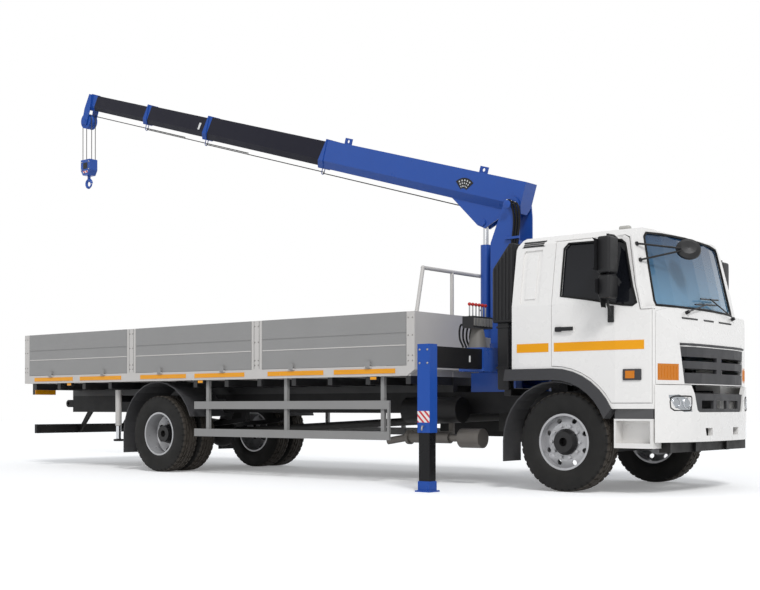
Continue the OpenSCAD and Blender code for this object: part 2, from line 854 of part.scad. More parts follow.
module rear_axle() {
    color(black) {
        rod_y(rear_x, axle_z, 75, -twin_y + 260, twin_y - 260);
        both_sides() rod_y(rear_x, axle_z, spindle_r, -rear_y, -twin_y + 270);
        translate([rear_x, 0, axle_z]) sphere(r = 200);
        rod_x(0, axle_z + 20, 60, rear_x + 150, rear_x + 245);
        both_sides() block([rear_x - 70, -rail_out, axle_z], [rear_x + 70, -rail_out + rail_flange,
            axle_z + 120]);
        springs(rear_x, axle_z + 100, hanger_rear);
    }
}

module powertrain() {
    color(grey) {
        block([-650, -300, 560], [780, 300, 1240]);
        block([-620, -200, 430], [-130, 200, 570]);
        block([-1400, -230, 600], [-640, 230, 1020]);
        strut([-1390, 0, 780], [rear_x + 250, 0, axle_z + 20], 100);
        both_sides() block([-420, -rail_out + rail_t, 900], [-300, -290, 960]);
    }
}

module tanks() {
    color(black) {
        tank_y = rail_out + 60 + air_tank_d / 2;
        rod_x(-tank_y, 850, air_tank_d / 2, bed_front + 220 - air_tank_l, bed_front + 220);
        for (x = [bed_front - 80, bed_front - 480])
            block([x, -tank_y, 900], [x + 50, -rail_out, 960]);
        difference() {
            block([bed_front + 150 - fuel_tank_l, rail_out + 40, 520], [bed_front + 150, rail_out + 640, 1010]);
            for (z = [520, 1010]) for (y = [rail_out + 640])
                translate([0, y, z]) rotate([45, 0, 0])
                    cube([20000, 50, 50], center = true);
        }
        for (x = [bed_front - 20, bed_front - 620])
            block([x, rail_out, 880], [x + 60, rail_out + 60, 960]);
    }
}

module exhaust() {
    y = -rail_out - 380;
    color(silver) {
        rod_x(y, 530, exhaust_d / 2, bed_front - 430, bed_front + 170);
        rod_x(y, 530, exhaust_d / 2 + 20, bed_front - 440, bed_front - 400);
        rod_x(y, 530, exhaust_d / 3, bed_front + 160, bed_front + 560);
        rod_x(y, 530, exhaust_d / 2 + 45, bed_front + 330, bed_front + 620);
        strut([bed_front - 420, y, 530], [bed_front - 700, y - 60, 480], exhaust_d * 0.65);
        block([bed_front - 100, y, 540], [bed_front - 40, -rail_out, 600]);
        block([bed_front - 100, -rail_out - 40, 540], [bed_front - 40, -rail_out, frame_bottom + 60]);
    }
}

// Tyre about the z axis: half of its section is mirrored at the middle
tyre_side = [[rim_d / 2 - 12.5, 101], [rim_d / 2 + 1, 105], [rim_d / 2 + 10, 120], [rim_d / 2 + 80, 138],
    [axle_z - 115, tyre_w / 2], [axle_z - 55, tyre_w / 2 - 6], [axle_z - 18, tyre_w / 2 - 24],
    [axle_z - 3, tyre_w / 2 - 44], [axle_z, 0]];

module tyre_at(y) {
    translate([0, y, axle_z]) rotate([90, 0, 0])
        rotate_extrude($fn = 96) polygon(concat(tyre_side,
            [for (i = [len(tyre_side) - 2:-1:0]) [tyre_side[i].x, -tyre_side[i].y]]));
}

// Rim about the y axis with its disc at the distance dish from the middle, towards -y
module rim_at(y, dish, hub_out) {
    r = rim_d / 2;
    bed = r - 13;
    hub_r = 136;
    nut_at = 168;
    hole_at = 232;
    translate([0, y, axle_z]) rotate([90, 0, 0]) {
        rotate_extrude($fn = 72)
            polygon([[bed - 12, -118], [r, -118], [r, -108], [bed, -104], [bed, 104], [r, 108],
                [r, 118], [bed - 12, 118]]);
        difference() {
            union() {
                rotate_extrude($fn = 72)
                    polygon([[spindle_r + play, dish - 16], [nut_at + 32, dish - 16], [bed - 2, dish * 0.55 - 16],
                        [bed - 2, dish * 0.55], [nut_at + 36, dish], [spindle_r + play, dish]]);
                // Hub
                rotate_extrude($fn = 48)
                    polygon([[spindle_r + play, dish - 40], [hub_r, dish - 40], [hub_r, dish + hub_out * 0.4 - 1],
                        [hub_r - 28, dish + hub_out], [spindle_r + play, dish + hub_out]]);
                if (hub_out > 0) for (i = [0:nut_count - 1]) rotate([0, 0, i * 360 / nut_count])
                    translate([nut_at, 0, dish - 8]) cylinder(d = 34, h = 38, $fn = 6);
            }
            for (i = [0:hand_holes - 1]) rotate([0, 0, (i + 0.5) * 360 / hand_holes])
                translate([hole_at, 0, 0]) cylinder(d = 56, h = 600, center = true);
        }
    }
}

module tyre_front_right() {
    color(black) tyre_at(-front_y);
}

module tyre_front_left() {
    color(black) tyre_at(front_y);
}

module tyres_rear_right() {
    color(black) translate([rear_x, 0, 0]) for (y = [rear_y, rear_y - twin_gap]) tyre_at(-y);
}

module tyres_rear_left() {
    color(black) mirror([0, 1, 0]) translate([rear_x, 0, 0])
        for (y = [rear_y, rear_y - twin_gap]) tyre_at(-y);
}

module rim_front_right() {
    color(silver) rim_at(-front_y, 62, 70);
}

module rim_front_left() {
    color(silver) mirror([0, 1, 0]) rim_at(-front_y, 62, 70);
}

module twin_rims() {
    translate([rear_x, 0, 0]) {
        rim_at(-rear_y, 16 - twin_gap / 2, 190);
        rim_at(twin_gap - rear_y, twin_gap / 2, 0);
    }
}

module rims_rear_right() {
    color(silver) twin_rims();
}

module rims_rear_left() {
    color(silver) mirror([0, 1, 0]) twin_rims();
}

// Places of the boards' hinges
hinge_out = 18;
hinge_z = floor_z - 8;
knuckle_l = 70;
ear_t = 10;
board_low = floor_z + clear;

function post_x(i) = bed_back + post_w / 2 + i * bay_l;
function post_half(i) = (i == 0 || i == bays ? post_w : mid_post_w) / 2;

// One hinge's two ears on the edge of the floor, around the x axis
module ears() {
    for (side = [-1, 1]) translate([side * (knuckle_l / 2 + play + ear_t / 2), 0, 0]) {
        rod_x(0, 0, hinge_d / 2, -ear_t / 2, ear_t / 2);
        block([-ear_t / 2, 0, -hinge_d / 2], [ear_t / 2, hinge_out + 1, hinge_d / 4]);
    }
}

// The knuckle between them, with its strap up the board
module knuckle_strap() {
    rod_x(0, 0, hinge_d / 2, -knuckle_l / 2, knuckle_l / 2);
    block([-knuckle_l / 2, -hinge_d / 2, 0], [knuckle_l / 2, -2, 70]);
    block([-knuckle_l / 2, -hinge_d / 2, board_low - hinge_z + 10],
        [knuckle_l / 2, hinge_out + 4, 70]);
}

function side_hinges(i) = [for (k = [1, 3]) post_x(i) + bay_l * k / 4];
gate_hinges = [-bed_y * 0.6, bed_y * 0.6];

module deck() {
    sub_h = 85;
    bearers = floor(platform_l / 620);
    groove_in = 64;
    groove_w = 10;
    groove_d = 5;
    color(light_grey) {
        difference() {
            block([bed_back + 2, -bed_y + 5, floor_z - 35], [bed_front - 2, bed_y - 5, floor_z]);
            // Drain groove along the foot of the boards
            difference() {
                block([bed_back + groove_in, -bed_y + groove_in, floor_z - groove_d],
                    [bed_front - groove_in - 20, bed_y - groove_in, floor_z + 1]);
                block([bed_back + groove_in + groove_w, -bed_y + groove_in + groove_w, 0],
                    [bed_front - groove_in - groove_w - 20, bed_y - groove_in - groove_w, floor_z + 2]);
            }
        }
        both_sides() along_y(-bed_y, -bed_y + 60)
            polygon([[bed_back, bed_bottom], [bed_front - 110, bed_bottom],
                [bed_front, bed_bottom + 70], [bed_front, floor_z], [bed_back, floor_z]]);
        block([bed_back, -bed_y, bed_bottom], [bed_back + 60, bed_y, floor_z]);
        // Bearers across, shorter above the rear wheels
        for (i = [0:bearers])
            let (x = bed_back + 200 + (platform_l - 340) * i / bearers,
                 half = abs(x + 35 - rear_x) < guard_reach ? guard_in - 30 : bed_y - 20)
                block([x, -half, frame_top + sub_h], [x + 70, half, floor_z - 30]);
        both_sides() block([bed_back + 60, -rail_out, frame_top],
            [bed_front - 60, -rail_out + rail_flange, floor_z - 30]);
        // Posts between the boards
        both_sides() for (i = [0:bays])
            block([post_x(i) - post_half(i), -bed_y, floor_z - 1],
                [post_x(i) + post_half(i), -bed_y + board_t + 12, board_top]);
        both_sides() for (i = [0:bays - 1], x = side_hinges(i))
            translate([x, -bed_y - hinge_out, hinge_z]) ears();
        for (y = gate_hinges)
            translate([bed_back - hinge_out, y, hinge_z]) rotate([0, 0, -90]) ears();
    }
}

// The board of one bay on the right
module board(i) {
    x0 = post_x(i) + post_half(i) + clear;
    x1 = post_x(i + 1) - post_half(i + 1) - clear;
    high = board_top - board_low;
    difference() {
        block([x0, -bed_y, board_low], [x1, -bed_y + board_t, board_top]);
        // Long grooves where the planks meet
        for (part = [0.37, 0.6])
            block([x0 - 1, -bed_y - 1, board_low + part * high - 8],
                [x1 + 1, -bed_y + 5, board_low + part * high + 8]);
    }
    for (x = side_hinges(i))
        translate([x, -bed_y - hinge_out, hinge_z]) knuckle_strap();
}

module side_right_1() {
    color(grey) board(0);
}

module side_right_2() {
    color(grey) board(1);
}

module side_right_3() {
    color(grey) board(2);
}

module side_left_1() {
    color(grey) mirror([0, 1, 0]) board(0);
}

module side_left_2() {
    color(grey) mirror([0, 1, 0]) board(1);
}

module side_left_3() {
    color(grey) mirror([0, 1, 0]) board(2);
}

module tailgate() {
    edge = bed_y - board_t - 12 - clear;
    high = board_top - board_low;
    color(grey) {
        difference() {
            block([bed_back, -edge, board_low], [bed_back + board_t, edge, board_top]);
            for (part = [0.37, 0.6])
                block([bed_back - 1, -edge - 1, board_low + part * high - 8],
                    [bed_back + 5, edge + 1, board_low + part * high + 8]);
        }
        for (y = gate_hinges)
            translate([bed_back - hinge_out, y, hinge_z]) rotate([0, 0, -90]) knuckle_strap();
    }
}

module headboard() {
    x = bed_front - 30;
    edge = bed_y - board_t - 14;
    foot = [x, bed_y - 75, board_top - 5];
    top = [x, bed_y - 198, rack_top];
    color(light_grey) {
        block([x - 15, -edge, floor_z], [x + 25, edge, board_top]);
        both_sides() {
            strut([x, -foot.y, foot.z - 15], [x, -top.y, top.z], rack_d);
            strut([x, -495, board_top - 15], [x, -495, rack_top], rack_d);
            translate([x, -top.y, top.z]) sphere(d = rack_d * 1.15);
        }
        strut([x, -top.y, rack_top], [x, top.y, rack_top], rack_d);
    }
}

module lamps() {
    color(amber) {
        intersection() {
            difference() {
                cab_form(0);
                cab_form(30);
            }
            corner_lamp_space(-play);
        }
        // Two reflectors in each bay, on the edge of the floor
        both_sides() for (i = [0:bays - 1], part = [0.27, 0.72])
            let (x = post_x(i) + bay_l * part, half = bay_l * 0.19)
                block([x - half, -bed_y - 6, bed_bottom + 30], [x + half, -bed_y, bed_bottom + 85]);
        // Tail lamps
        both_sides() block([bed_back + 10, -1130, bed_bottom - 165], [bed_back + 90, -770, bed_bottom]);
    }
}

box_wall = 20;
box_top = beam_z + beam_h / 2 + box_wall;
box_low = beam_z - beam_h / 2 - box_wall;
beam_l = 1300;
beam_out = leg_y - sleeve_y / 2;
box_back = beam_x_left - beam_w / 2 - box_wall;
box_fore = beam_x_right + beam_w / 2 + box_wall;

// Outrigger box across the chassis, pedestal and lower half of the turning ring
module crane_base() {
    deep = beam_l - beam_out + beam_travel + clear;
    color(blue) difference() {
        union() {
            block([box_back, -box_half, box_low], [box_fore, box_half, box_top]);
            block([column_x - 260, -260, frame_top], [box_back + 1, 260, box_top]);
            both_sides() block([column_x - 260, -rail_out, frame_top],
                [box_fore, -rail_out + rail_flange + 40, box_low + 1]);
            rod_z(column_x, 0, 250, box_top - 1, turn_z);
        }
        block([beam_x_right - beam_w / 2 - play, -box_half - 1, beam_z - beam_h / 2 - play],
            [beam_x_right + beam_w / 2 + play, deep, beam_z + beam_h / 2 + play]);
        block([beam_x_left - beam_w / 2 - play, -deep, beam_z - beam_h / 2 - play],
            [beam_x_left + beam_w / 2 + play, box_half + 1, beam_z + beam_h / 2 + play]);
    }
}

// Beam with the sleeve of its leg, on the right
module beam_at(x) {
    color(black) block([x - beam_w / 2, -beam_out - 1, beam_z - beam_h / 2],
        [x + beam_w / 2, -beam_out + beam_l, beam_z + beam_h / 2]);
    color(blue) difference() {
        block([x - sleeve_x / 2, -leg_y - sleeve_y / 2, sleeve_bottom],
            [x + sleeve_x / 2, -leg_y + sleeve_y / 2, box_top]);
        block([x - sleeve_x / 2 + sleeve_t, -leg_y - sleeve_y / 2 + sleeve_t, 0],
            [x + sleeve_x / 2 - sleeve_t, -leg_y + sleeve_y / 2 - sleeve_t, box_top - sleeve_t]);
    }
}

module leg_at(x) {
    half_x = sleeve_x / 2 - sleeve_t - play;
    half_y = sleeve_y / 2 - sleeve_t - play;
    leg_top = box_top - sleeve_t - leg_travel - clear;
    color(black) block([x - half_x, -leg_y - half_y, 100], [x + half_x, -leg_y + half_y, leg_top]);
    color(blue) {
        block([x - 75, -leg_y - 65, 15], [x + 75, -leg_y + 65, 110]);
        block([x - 95, -leg_y - 90, 0], [x + 95, -leg_y + 90, 16]);
    }
}

module beam_right() {
    beam_at(beam_x_right);
}

module beam_left() {
    mirror([0, 1, 0]) beam_at(beam_x_left);
}

module leg_right() {
    leg_at(beam_x_right);
}

module leg_left() {
    mirror([0, 1, 0]) leg_at(beam_x_left);
}

module lever_bank(y) {
    x = box_back + 115;
    levers = 6;
    bank_w = 380;
    stand_h = 230;
    bank_h = 130;
    translate([x, y, box_top]) {
        cylinder(r1 = 110, r2 = 66, h = stand_h);
        translate([-75, -bank_w / 2, stand_h - 5]) cube([150, bank_w, bank_h]);
        for (i = [0:levers - 1])
            translate([0, bank_w * ((i + 0.5) / levers - 0.5), stand_h + bank_h - 10]) {
                cylinder(d = 16, h = 150);
                translate([0, 0, 140]) sphere(d = 40);
            }
    }
}

module controls() {
    color(plastic) for (y = [-box_half + 200, box_half - 200]) lever_bank(y);
}

module snorkel() {
    color(black) {
        along_y(-1090, -900)
            polygon([[-cab_back - 330, 1500], [-cab_back - 50, 1500], [-cab_back - 50, 2560],
                [-cab_back - 120, 2660], [-cab_back - 330, 2560]]);
        for (z = [1640:90:2450])
            block([-cab_back - 338, -1098, z], [-cab_back - 42, -892, z + 40]);
        block([-cab_back - 260, -1060, frame_top - 60], [-cab_back - 110, -930, 1510]);
        block([-cab_back - 230, -1000, frame_top - 60], [-cab_back - 140, -rail_out, frame_top - 10]);
    }
}

// Column: two cheeks on a round foot, closed in front and behind below the boom
module column() {
    inner = column_w / 2 - cheek_t;
    round_r = pivot_d / 2 + 70;
    cheek = concat([[column_back, column_foot - 5], [column_fore, column_foot - 5],
        [column_fore, pivot_z - 120]], arc([pivot_x, pivot_z], round_r, 0, 150, 8),
        [[column_back, pivot_z - 420]]);
    color(blue) {
        rod_z(column_x, 0, 235, turn_z + play, column_foot);
        both_sides() along_y(-column_w / 2, -inner) polygon(cheek);
        block([column_back, -inner - 1, column_foot - 5], [column_back + 20, inner + 1, pivot_z - 560]);
        block([column_fore - 20, -inner - 1, column_foot - 5], [column_fore, inner + 1, pivot_z - 420]);
        rod_y(pivot_x, pivot_z, pivot_d / 2, -column_w / 2 - 15, column_w / 2 + 15);
        // Lugs and pin at the foot of the lift cylinder
        both_sides() along_y(-lug_in - 20, -lug_in)
            polygon([[column_back + 5, barrel_foot_z - 90], [column_back + 5, barrel_foot_z + 140],
                [barrel_x - 45, barrel_foot_z + 45], [barrel_x - 45, barrel_foot_z - 45]]);
        rod_y(barrel_x, barrel_foot_z, 25, -lug_in - 25, lug_in + 25);
        // Winch drum between the cheeks
        rod_y(column_x + 40, pivot_z - 640, 130, -inner - 1, inner + 1);
    }
}

module lift_barrel() {
    color(blue) difference() {
        union() {
            rod_z(barrel_x, 0, barrel_d / 2, barrel_foot_z + 40, barrel_top);
            rod_y(barrel_x, barrel_foot_z, 55, -lug_in + play, lug_in - play);
        }
        rod_y(barrel_x, barrel_foot_z, 25 + play, -100, 100);
        rod_z(barrel_x, 0, rod_d / 2 + play, barrel_foot_z + 120, barrel_top + 1);
    }
}

module lift_rod() {
    color(silver) {
        rod_z(barrel_x, 0, rod_d / 2, barrel_top - 700, rod_eye_z);
        rod_y(barrel_x, rod_eye_z, 50, -38, 38);
    }
}

// The boom's own frame: it reaches along -x from the pivot
module boom_frame() {
    translate([pivot_x, 0, pivot_z]) rotate([0, boom_angle, 0]) children();
}

function sect_h(i) = boom_h - boom_step * i;
function sect_w(i) = boom_w - boom_step_w * i;
section_ends = [base_l, base_l + out_2, base_l + out_2 + out_3, head_t];
section_l = boom_travel + boom_hold;
rake = 0.25;
collar_l = 90;
collar_t = 10;

// Flat top, upright sides and cut lower corners
module sect(i, grow) {
    w = sect_w(i) / 2 + grow;
    h = sect_h(i) / 2 + grow;
    translate([0, boom_lift])
        polygon([[w, h], [-w, h], [-w, -h / 2], [-w * 0.55, -h], [w * 0.55, -h], [w, -h / 2]]);
}

// Keeps what lies behind the raked end at t
module raked_end(t, from) {
    h = boom_h;
    intersection() {
        children();
        along_y(-500, 500)
            polygon([[-from, boom_lift - h], [-from, boom_lift + h],
                [-t + rake * h, boom_lift + h], [-t - rake * h, boom_lift - h]]);
    }
}

// A tube of the boom from t0 to its end, with the collar that guides the next one
module tube(i, t0) {
    t1 = section_ends[i];
    raked_end(t1, t0)
        difference() {
            along_x(-t1 - 200, -t0) sect(i, 0);
            along_x(-t1 - 300, -t0 + 1) sect(i, -boom_wall);
        }
    raked_end(t1, t0)
        difference() {
            along_x(-t1 - 200, -t1 + 60) sect(i, collar_t);
            along_x(-t1 - 300, -t1 + 100) sect(i + 1, play);
            raked_end(t1 - collar_l, t0) along_x(-t1 - 300, -t0) sect(i, collar_t + 1);
        }
}

eye_local = [-rod_arm * cos(boom_angle) + rod_drop * sin(boom_angle),
    -rod_arm * sin(boom_angle) - rod_drop * cos(boom_angle)];

module boom_base() {
    heel = -110;
    low = boom_lift - boom_h / 2;
    color(blue) boom_frame() difference() {
        union() {
            tube(0, heel);
            along_x(-heel - 20, -heel) sect(0, 0);
            // Plates that take the lift cylinder's rod
            both_sides() along_y(-64, -44)
                polygon([[-930, low + 4], eye_local + [-70, -45], eye_local + [40, -60],
                    [-80, low - 20], [-80, low + 4]]);
            both_sides() translate([eye_local.x, 0, eye_local.y])
                rod_y(0, 0, 40, -84, -60);
            // Bosses for the pivot pin
            both_sides() rod_y(0, 0, pivot_d / 2 + 30, -column_w / 2 + cheek_t + play, -boom_w / 2 + 30);
            // Lifting eyes
            for (t = [600, base_l - 330]) difference() {
                block([-t - 60, -8, boom_lift + boom_h / 2 - 2], [-t + 60, 8, boom_lift + boom_h / 2 + 80]);
                rod_y(-t, boom_lift + boom_h / 2 + 40, 22, -20, 20);
            }
        }
        rod_y(0, 0, pivot_d / 2 + play, -500, 500);
    }
}

module boom_2() {
    color(navy) boom_frame() tube(1, section_ends[1] - section_l);
}

module boom_3() {
    color(navy) boom_frame() tube(2, section_ends[2] - section_l);
}

module sheave() {
    groove = sheave_d / 2;
    rotate([90, 0, 0]) rotate_extrude()
        polygon([[0, -34], [groove + sheave_rim, -34], [groove + sheave_rim, -24], [groove, -rope_r - 4],
            [groove, rope_r + 4], [groove + sheave_rim, 24], [groove + sheave_rim, 34], [0, 34]]);
}

loop_y = [-36, 36];

module boom_4() {
    t0 = head_t - section_l;
    low = boom_lift - sect_h(3) / 2;
    head_l = 60;
    cheek_y = 76;
    color(navy) boom_frame() {
        raked_end(head_t, t0)
            difference() {
                along_x(-head_t - 200, -t0) sect(3, 0);
                along_x(-head_t - 300, -t0 + 1) sect(3, -boom_wall);
            }
        // Head with its two sheaves
        raked_end(head_t, t0) along_x(-head_t - 200, -head_t + head_l) sect(3, collar_t);
        both_sides() along_y(-cheek_y - 14, -cheek_y)
            polygon([[-head_t + head_l, low + 40], [-head_t + 40, low + sect_h(3)],
                [-head_t - 20, low + sect_h(3)], [-hang_t - 60, low], [-hang_t - 60, hang_n - 50],
                [-hang_t + 50, hang_n - 60], [-head_t + head_l, low - 20]]);
        translate([-hang_t, 0, hang_n]) {
            rod_y(0, 0, 30, -cheek_y - 20, cheek_y + 20);
            for (y = loop_y) translate([0, y, 0]) sheave();
        }
    }
}

// Rope over a sheave: half a ring above and two falls below
module rope_loop() {
    rotate([90, 0, 0]) rotate_extrude(angle = 180) translate([loop_r + rope_r, 0]) circle(r = rope_r);
    for (side = [-1, 1]) translate([side * (loop_r + rope_r), 0, -fall_l]) cylinder(r = rope_r, h = fall_l);
}

module hook_block() {
    neck = 60;
    color(blue) translate([hang_x, 0, hang_z]) {
        for (y = loop_y) translate([0, y, 0]) rope_loop();
        translate([0, 0, -fall_l]) {
            along_y(-75, 75)
                polygon(concat([[-block_w / 2, 20], [-block_w / 2, -150], [-block_w / 2 + 50, -230]],
                    [[block_w / 2 - 50, -230], [block_w / 2, -150], [block_w / 2, 20]]));
            translate([0, 0, -230 - neck]) cylinder(d = 50, h = neck + 10);
            // Hook
            translate([0, 0, -230 - neck - 70]) rotate([90, 0, 0])
                rotate_extrude(angle = 270) translate([62, 0]) circle(d = 44);
            translate([0, 0, -230 - neck - 40]) cylinder(d = 46, h = 50);
        }
    }
}

at_origin() chassis_frame();
at_origin() front_axle();
at_origin() rear_axle();
at_origin() powertrain();
at_origin() tanks();
at_origin() exhaust();
at_origin() bumper();
at_origin() grilles();
at_origin() headlamps();
at_origin() cab_steps();
at_origin() mudguards();
at_origin() side_guards();
at_origin() deck();
at_origin() headboard();
at_origin() lamps();
at_origin() crane_base();
at_origin() controls();
at_origin() snorkel();
at_origin() cab_shell();
at_origin() cab_front();
at_origin() cab_glass();
at_origin() cab_inside();
at_origin() wipers();
at_origin() arch_flares();
at_origin() door_right();
at_origin() door_left();
at_origin() door_glass_right();
at_origin() door_glass_left();
at_origin() mirrors_right();
at_origin() mirrors_left();
at_origin() knuckle_right();
at_origin() knuckle_left();
at_origin() tyre_front_right();
at_origin() tyre_front_left();
at_origin() tyres_rear_right();
at_origin() tyres_rear_left();
at_origin() rim_front_right();
at_origin() rim_front_left();
at_origin() rims_rear_right();
at_origin() rims_rear_left();
at_origin() column();
at_origin() lift_barrel();
at_origin() lift_rod();
at_origin() boom_base();
at_origin() boom_2();
at_origin() boom_3();
at_origin() boom_4();
at_origin() hook_block();
at_origin() beam_right();
at_origin() beam_left();
at_origin() leg_right();
at_origin() leg_left();
at_origin() side_right_1();
at_origin() side_right_2();
at_origin() side_right_3();
at_origin() side_left_1();
at_origin() side_left_2();
at_origin() side_left_3();
at_origin() tailgate();
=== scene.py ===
"""Looks of a flat-bed truck with a telescopic crane, laid out as an add-on."""

import json
import math

import bmesh
import bpy
from bpy.props import FloatProperty, FloatVectorProperty, IntProperty, PointerProperty
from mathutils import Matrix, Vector
from mathutils.bvhtree import BVHTree


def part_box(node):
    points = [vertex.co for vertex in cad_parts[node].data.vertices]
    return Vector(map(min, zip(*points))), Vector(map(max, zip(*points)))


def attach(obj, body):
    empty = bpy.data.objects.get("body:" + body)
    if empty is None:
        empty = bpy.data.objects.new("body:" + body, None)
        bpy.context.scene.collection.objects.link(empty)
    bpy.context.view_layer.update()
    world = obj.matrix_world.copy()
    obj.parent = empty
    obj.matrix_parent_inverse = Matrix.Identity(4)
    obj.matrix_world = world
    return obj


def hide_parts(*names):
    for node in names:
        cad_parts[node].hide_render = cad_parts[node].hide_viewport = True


bl_info = {
    "name": "Crane Truck Looks",
    "version": (1, 1, 0),
    "blender": (4, 5, 0),
    "location": "View3D > Sidebar > Truck",
    "description": "Paint, trim, tyres and rigging of a flat-bed truck with a telescopic crane",
    "category": "Object",
}

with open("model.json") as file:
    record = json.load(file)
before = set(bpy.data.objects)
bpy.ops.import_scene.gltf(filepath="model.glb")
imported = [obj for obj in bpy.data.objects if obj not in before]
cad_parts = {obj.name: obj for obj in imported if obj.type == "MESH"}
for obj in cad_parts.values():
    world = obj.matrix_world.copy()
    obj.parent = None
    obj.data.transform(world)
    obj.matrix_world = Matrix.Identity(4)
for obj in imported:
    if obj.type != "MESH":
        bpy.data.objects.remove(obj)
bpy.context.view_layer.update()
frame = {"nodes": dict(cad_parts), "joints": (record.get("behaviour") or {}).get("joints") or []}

# Places taken from the frame
FRONT_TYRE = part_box("tyre_front_right")
REAR_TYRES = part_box("tyres_rear_right")
AXLE = (FRONT_TYRE[0] + FRONT_TYRE[1]) / 2
REAR_AXLE = (REAR_TYRES[0] + REAR_TYRES[1]) / 2
TYRE_R = (FRONT_TYRE[1].z - FRONT_TYRE[0].z) / 2
TYRE_W = FRONT_TYRE[1].y - FRONT_TYRE[0].y
JOINTS = {j["name"]: j for j in frame["joints"]}
PIVOT = Vector(JOINTS["boom_lift"]["pos_m"])
BOOM_DIR = Vector(JOINTS["extend_2"]["axis"])
BOOM_UP = Vector((BOOM_DIR.z, 0, -BOOM_DIR.x))
ACROSS = Vector((0, 1, 0))
HANG = Vector(JOINTS["hook_swing"]["pos_m"])
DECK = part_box("deck")
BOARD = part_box("side_right_1")
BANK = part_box("controls")
SIDES = (("right", -1), ("left", 1))
SIDE_BOARDS = tuple("side_%s_%d" % (side, i) for side, _ in SIDES for i in (1, 2, 3))
SOLIDS = {}


def at(x, y, z):
    """A place measured from the front axle, in metres."""
    return Vector((AXLE.x + x, y, z))


def on_boom(t, y, n):
    """A place in the boom's own frame: along it, across it and up from the pivot."""
    return PIVOT + BOOM_DIR * t + BOOM_UP * n + ACROSS * y


def touch(nodes, start, direction):
    """Where a straight line first meets one of the CAD nodes, and the surface's normal."""
    best = None
    for n in nodes:
        if n not in SOLIDS:
            mesh = frame["nodes"][n].data
            SOLIDS[n] = BVHTree.FromPolygons([v.co.copy() for v in mesh.vertices],
                                             [tuple(p.vertices) for p in mesh.polygons])
        spot, normal, _, far = SOLIDS[n].ray_cast(start, Vector(direction))
        if spot and (best is None or far < best[2]):
            best = (spot, normal, far)
    return best[:2]


CAB_SIDE = ("cab_shell", "cab_front", "door_right", "door_glass_right", "bumper")
CAB_NOSE = ("cab_shell", "cab_front", "cab_glass", "bumper", "headlamps")


def side_at(x, z, out=0.0):
    """A place on the right side of the cab."""
    return touch(CAB_SIDE, at(x, -3, z), ACROSS)[0] - ACROSS * out


def from_ahead(nodes, y, z):
    """Where a line from ahead of the cab first meets the nodes, and the normal there."""
    return touch(nodes, at(4, y, z), (-1, 0, 0))


def nose_at(y, z, out=0.0):
    """A place on the front of the cab."""
    return from_ahead(CAB_NOSE, y, z)[0] + Vector((out, 0, 0))


# Finishes


def new_finish(name):
    mat = bpy.data.materials.new(name)
    mat.use_nodes = True
    nt = mat.node_tree
    nt.nodes.clear()
    out = nt.nodes.new("ShaderNodeOutputMaterial")
    bsdf = nt.nodes.new("ShaderNodeBsdfPrincipled")
    nt.links.new(bsdf.outputs[0], out.inputs[0])
    return mat, nt, bsdf


def maths(nt, op, a, b=0.0):
    n = nt.nodes.new("ShaderNodeMath")
    n.operation = op
    for i, v in enumerate((a, b)):
        if isinstance(v, (int, float)):
            n.inputs[i].default_value = v
        else:
            nt.links.new(v, n.inputs[i])
    return n.outputs[0]


def place(nt):
    return nt.nodes.new("ShaderNodeTexCoord").outputs["Object"]


def axis_of(nt, letter):
    sep = nt.nodes.new("ShaderNodeSeparateXYZ")
    nt.links.new(place(nt), sep.inputs[0])
    return sep.outputs["XYZ".index(letter)]


def along(nt, point, direction):
    """Distance from a point along a direction."""
    sub = nt.nodes.new("ShaderNodeVectorMath")
    sub.operation = "SUBTRACT"
    nt.links.new(place(nt), sub.inputs[0])
    sub.inputs[1].default_value = point
    dot = nt.nodes.new("ShaderNodeVectorMath")
    dot.operation = "DOT_PRODUCT"
    nt.links.new(sub.outputs[0], dot.inputs[0])
    dot.inputs[1].default_value = direction
    return dot.outputs["Value"]


def noise(nt, scale, detail=4.0):
    n = nt.nodes.new("ShaderNodeTexNoise")
    n.inputs["Scale"].default_value = scale
    n.inputs["Detail"].default_value = detail
    nt.links.new(place(nt), n.inputs["Vector"])
    return n.outputs["Fac"]


def spread(nt, value, lo, hi, to_lo, to_hi):
    m = nt.nodes.new("ShaderNodeMapRange")
    for i, v in enumerate((lo, hi, to_lo, to_hi)):
        m.inputs[i + 1].default_value = v
    nt.links.new(value, m.inputs[0])
    return m.outputs[0]


def mix(nt, fac, a, b):
    n = nt.nodes.new("ShaderNodeMix")
    n.data_type = "RGBA"
    nt.links.new(fac, n.inputs["Factor"])
    for sock, v in ((n.inputs[6], a), (n.inputs[7], b)):
        if hasattr(v, "is_output"):
            nt.links.new(v, sock)
        else:
            sock.default_value = (*v[:3], 1)
    return n.outputs[2]


def bump(nt, bsdf, height, strength):
    b = nt.nodes.new("ShaderNodeBump")
    b.inputs["Strength"].default_value = strength
    b.inputs["Distance"].default_value = 0.002
    nt.links.new(height, b.inputs["Height"])
    nt.links.new(b.outputs[0], bsdf.inputs["Normal"])


def shade(c, k):
    return tuple(min(1.0, v * k) for v in c[:3])


DUST = (0.16, 0.14, 0.115)
FINISH = {}


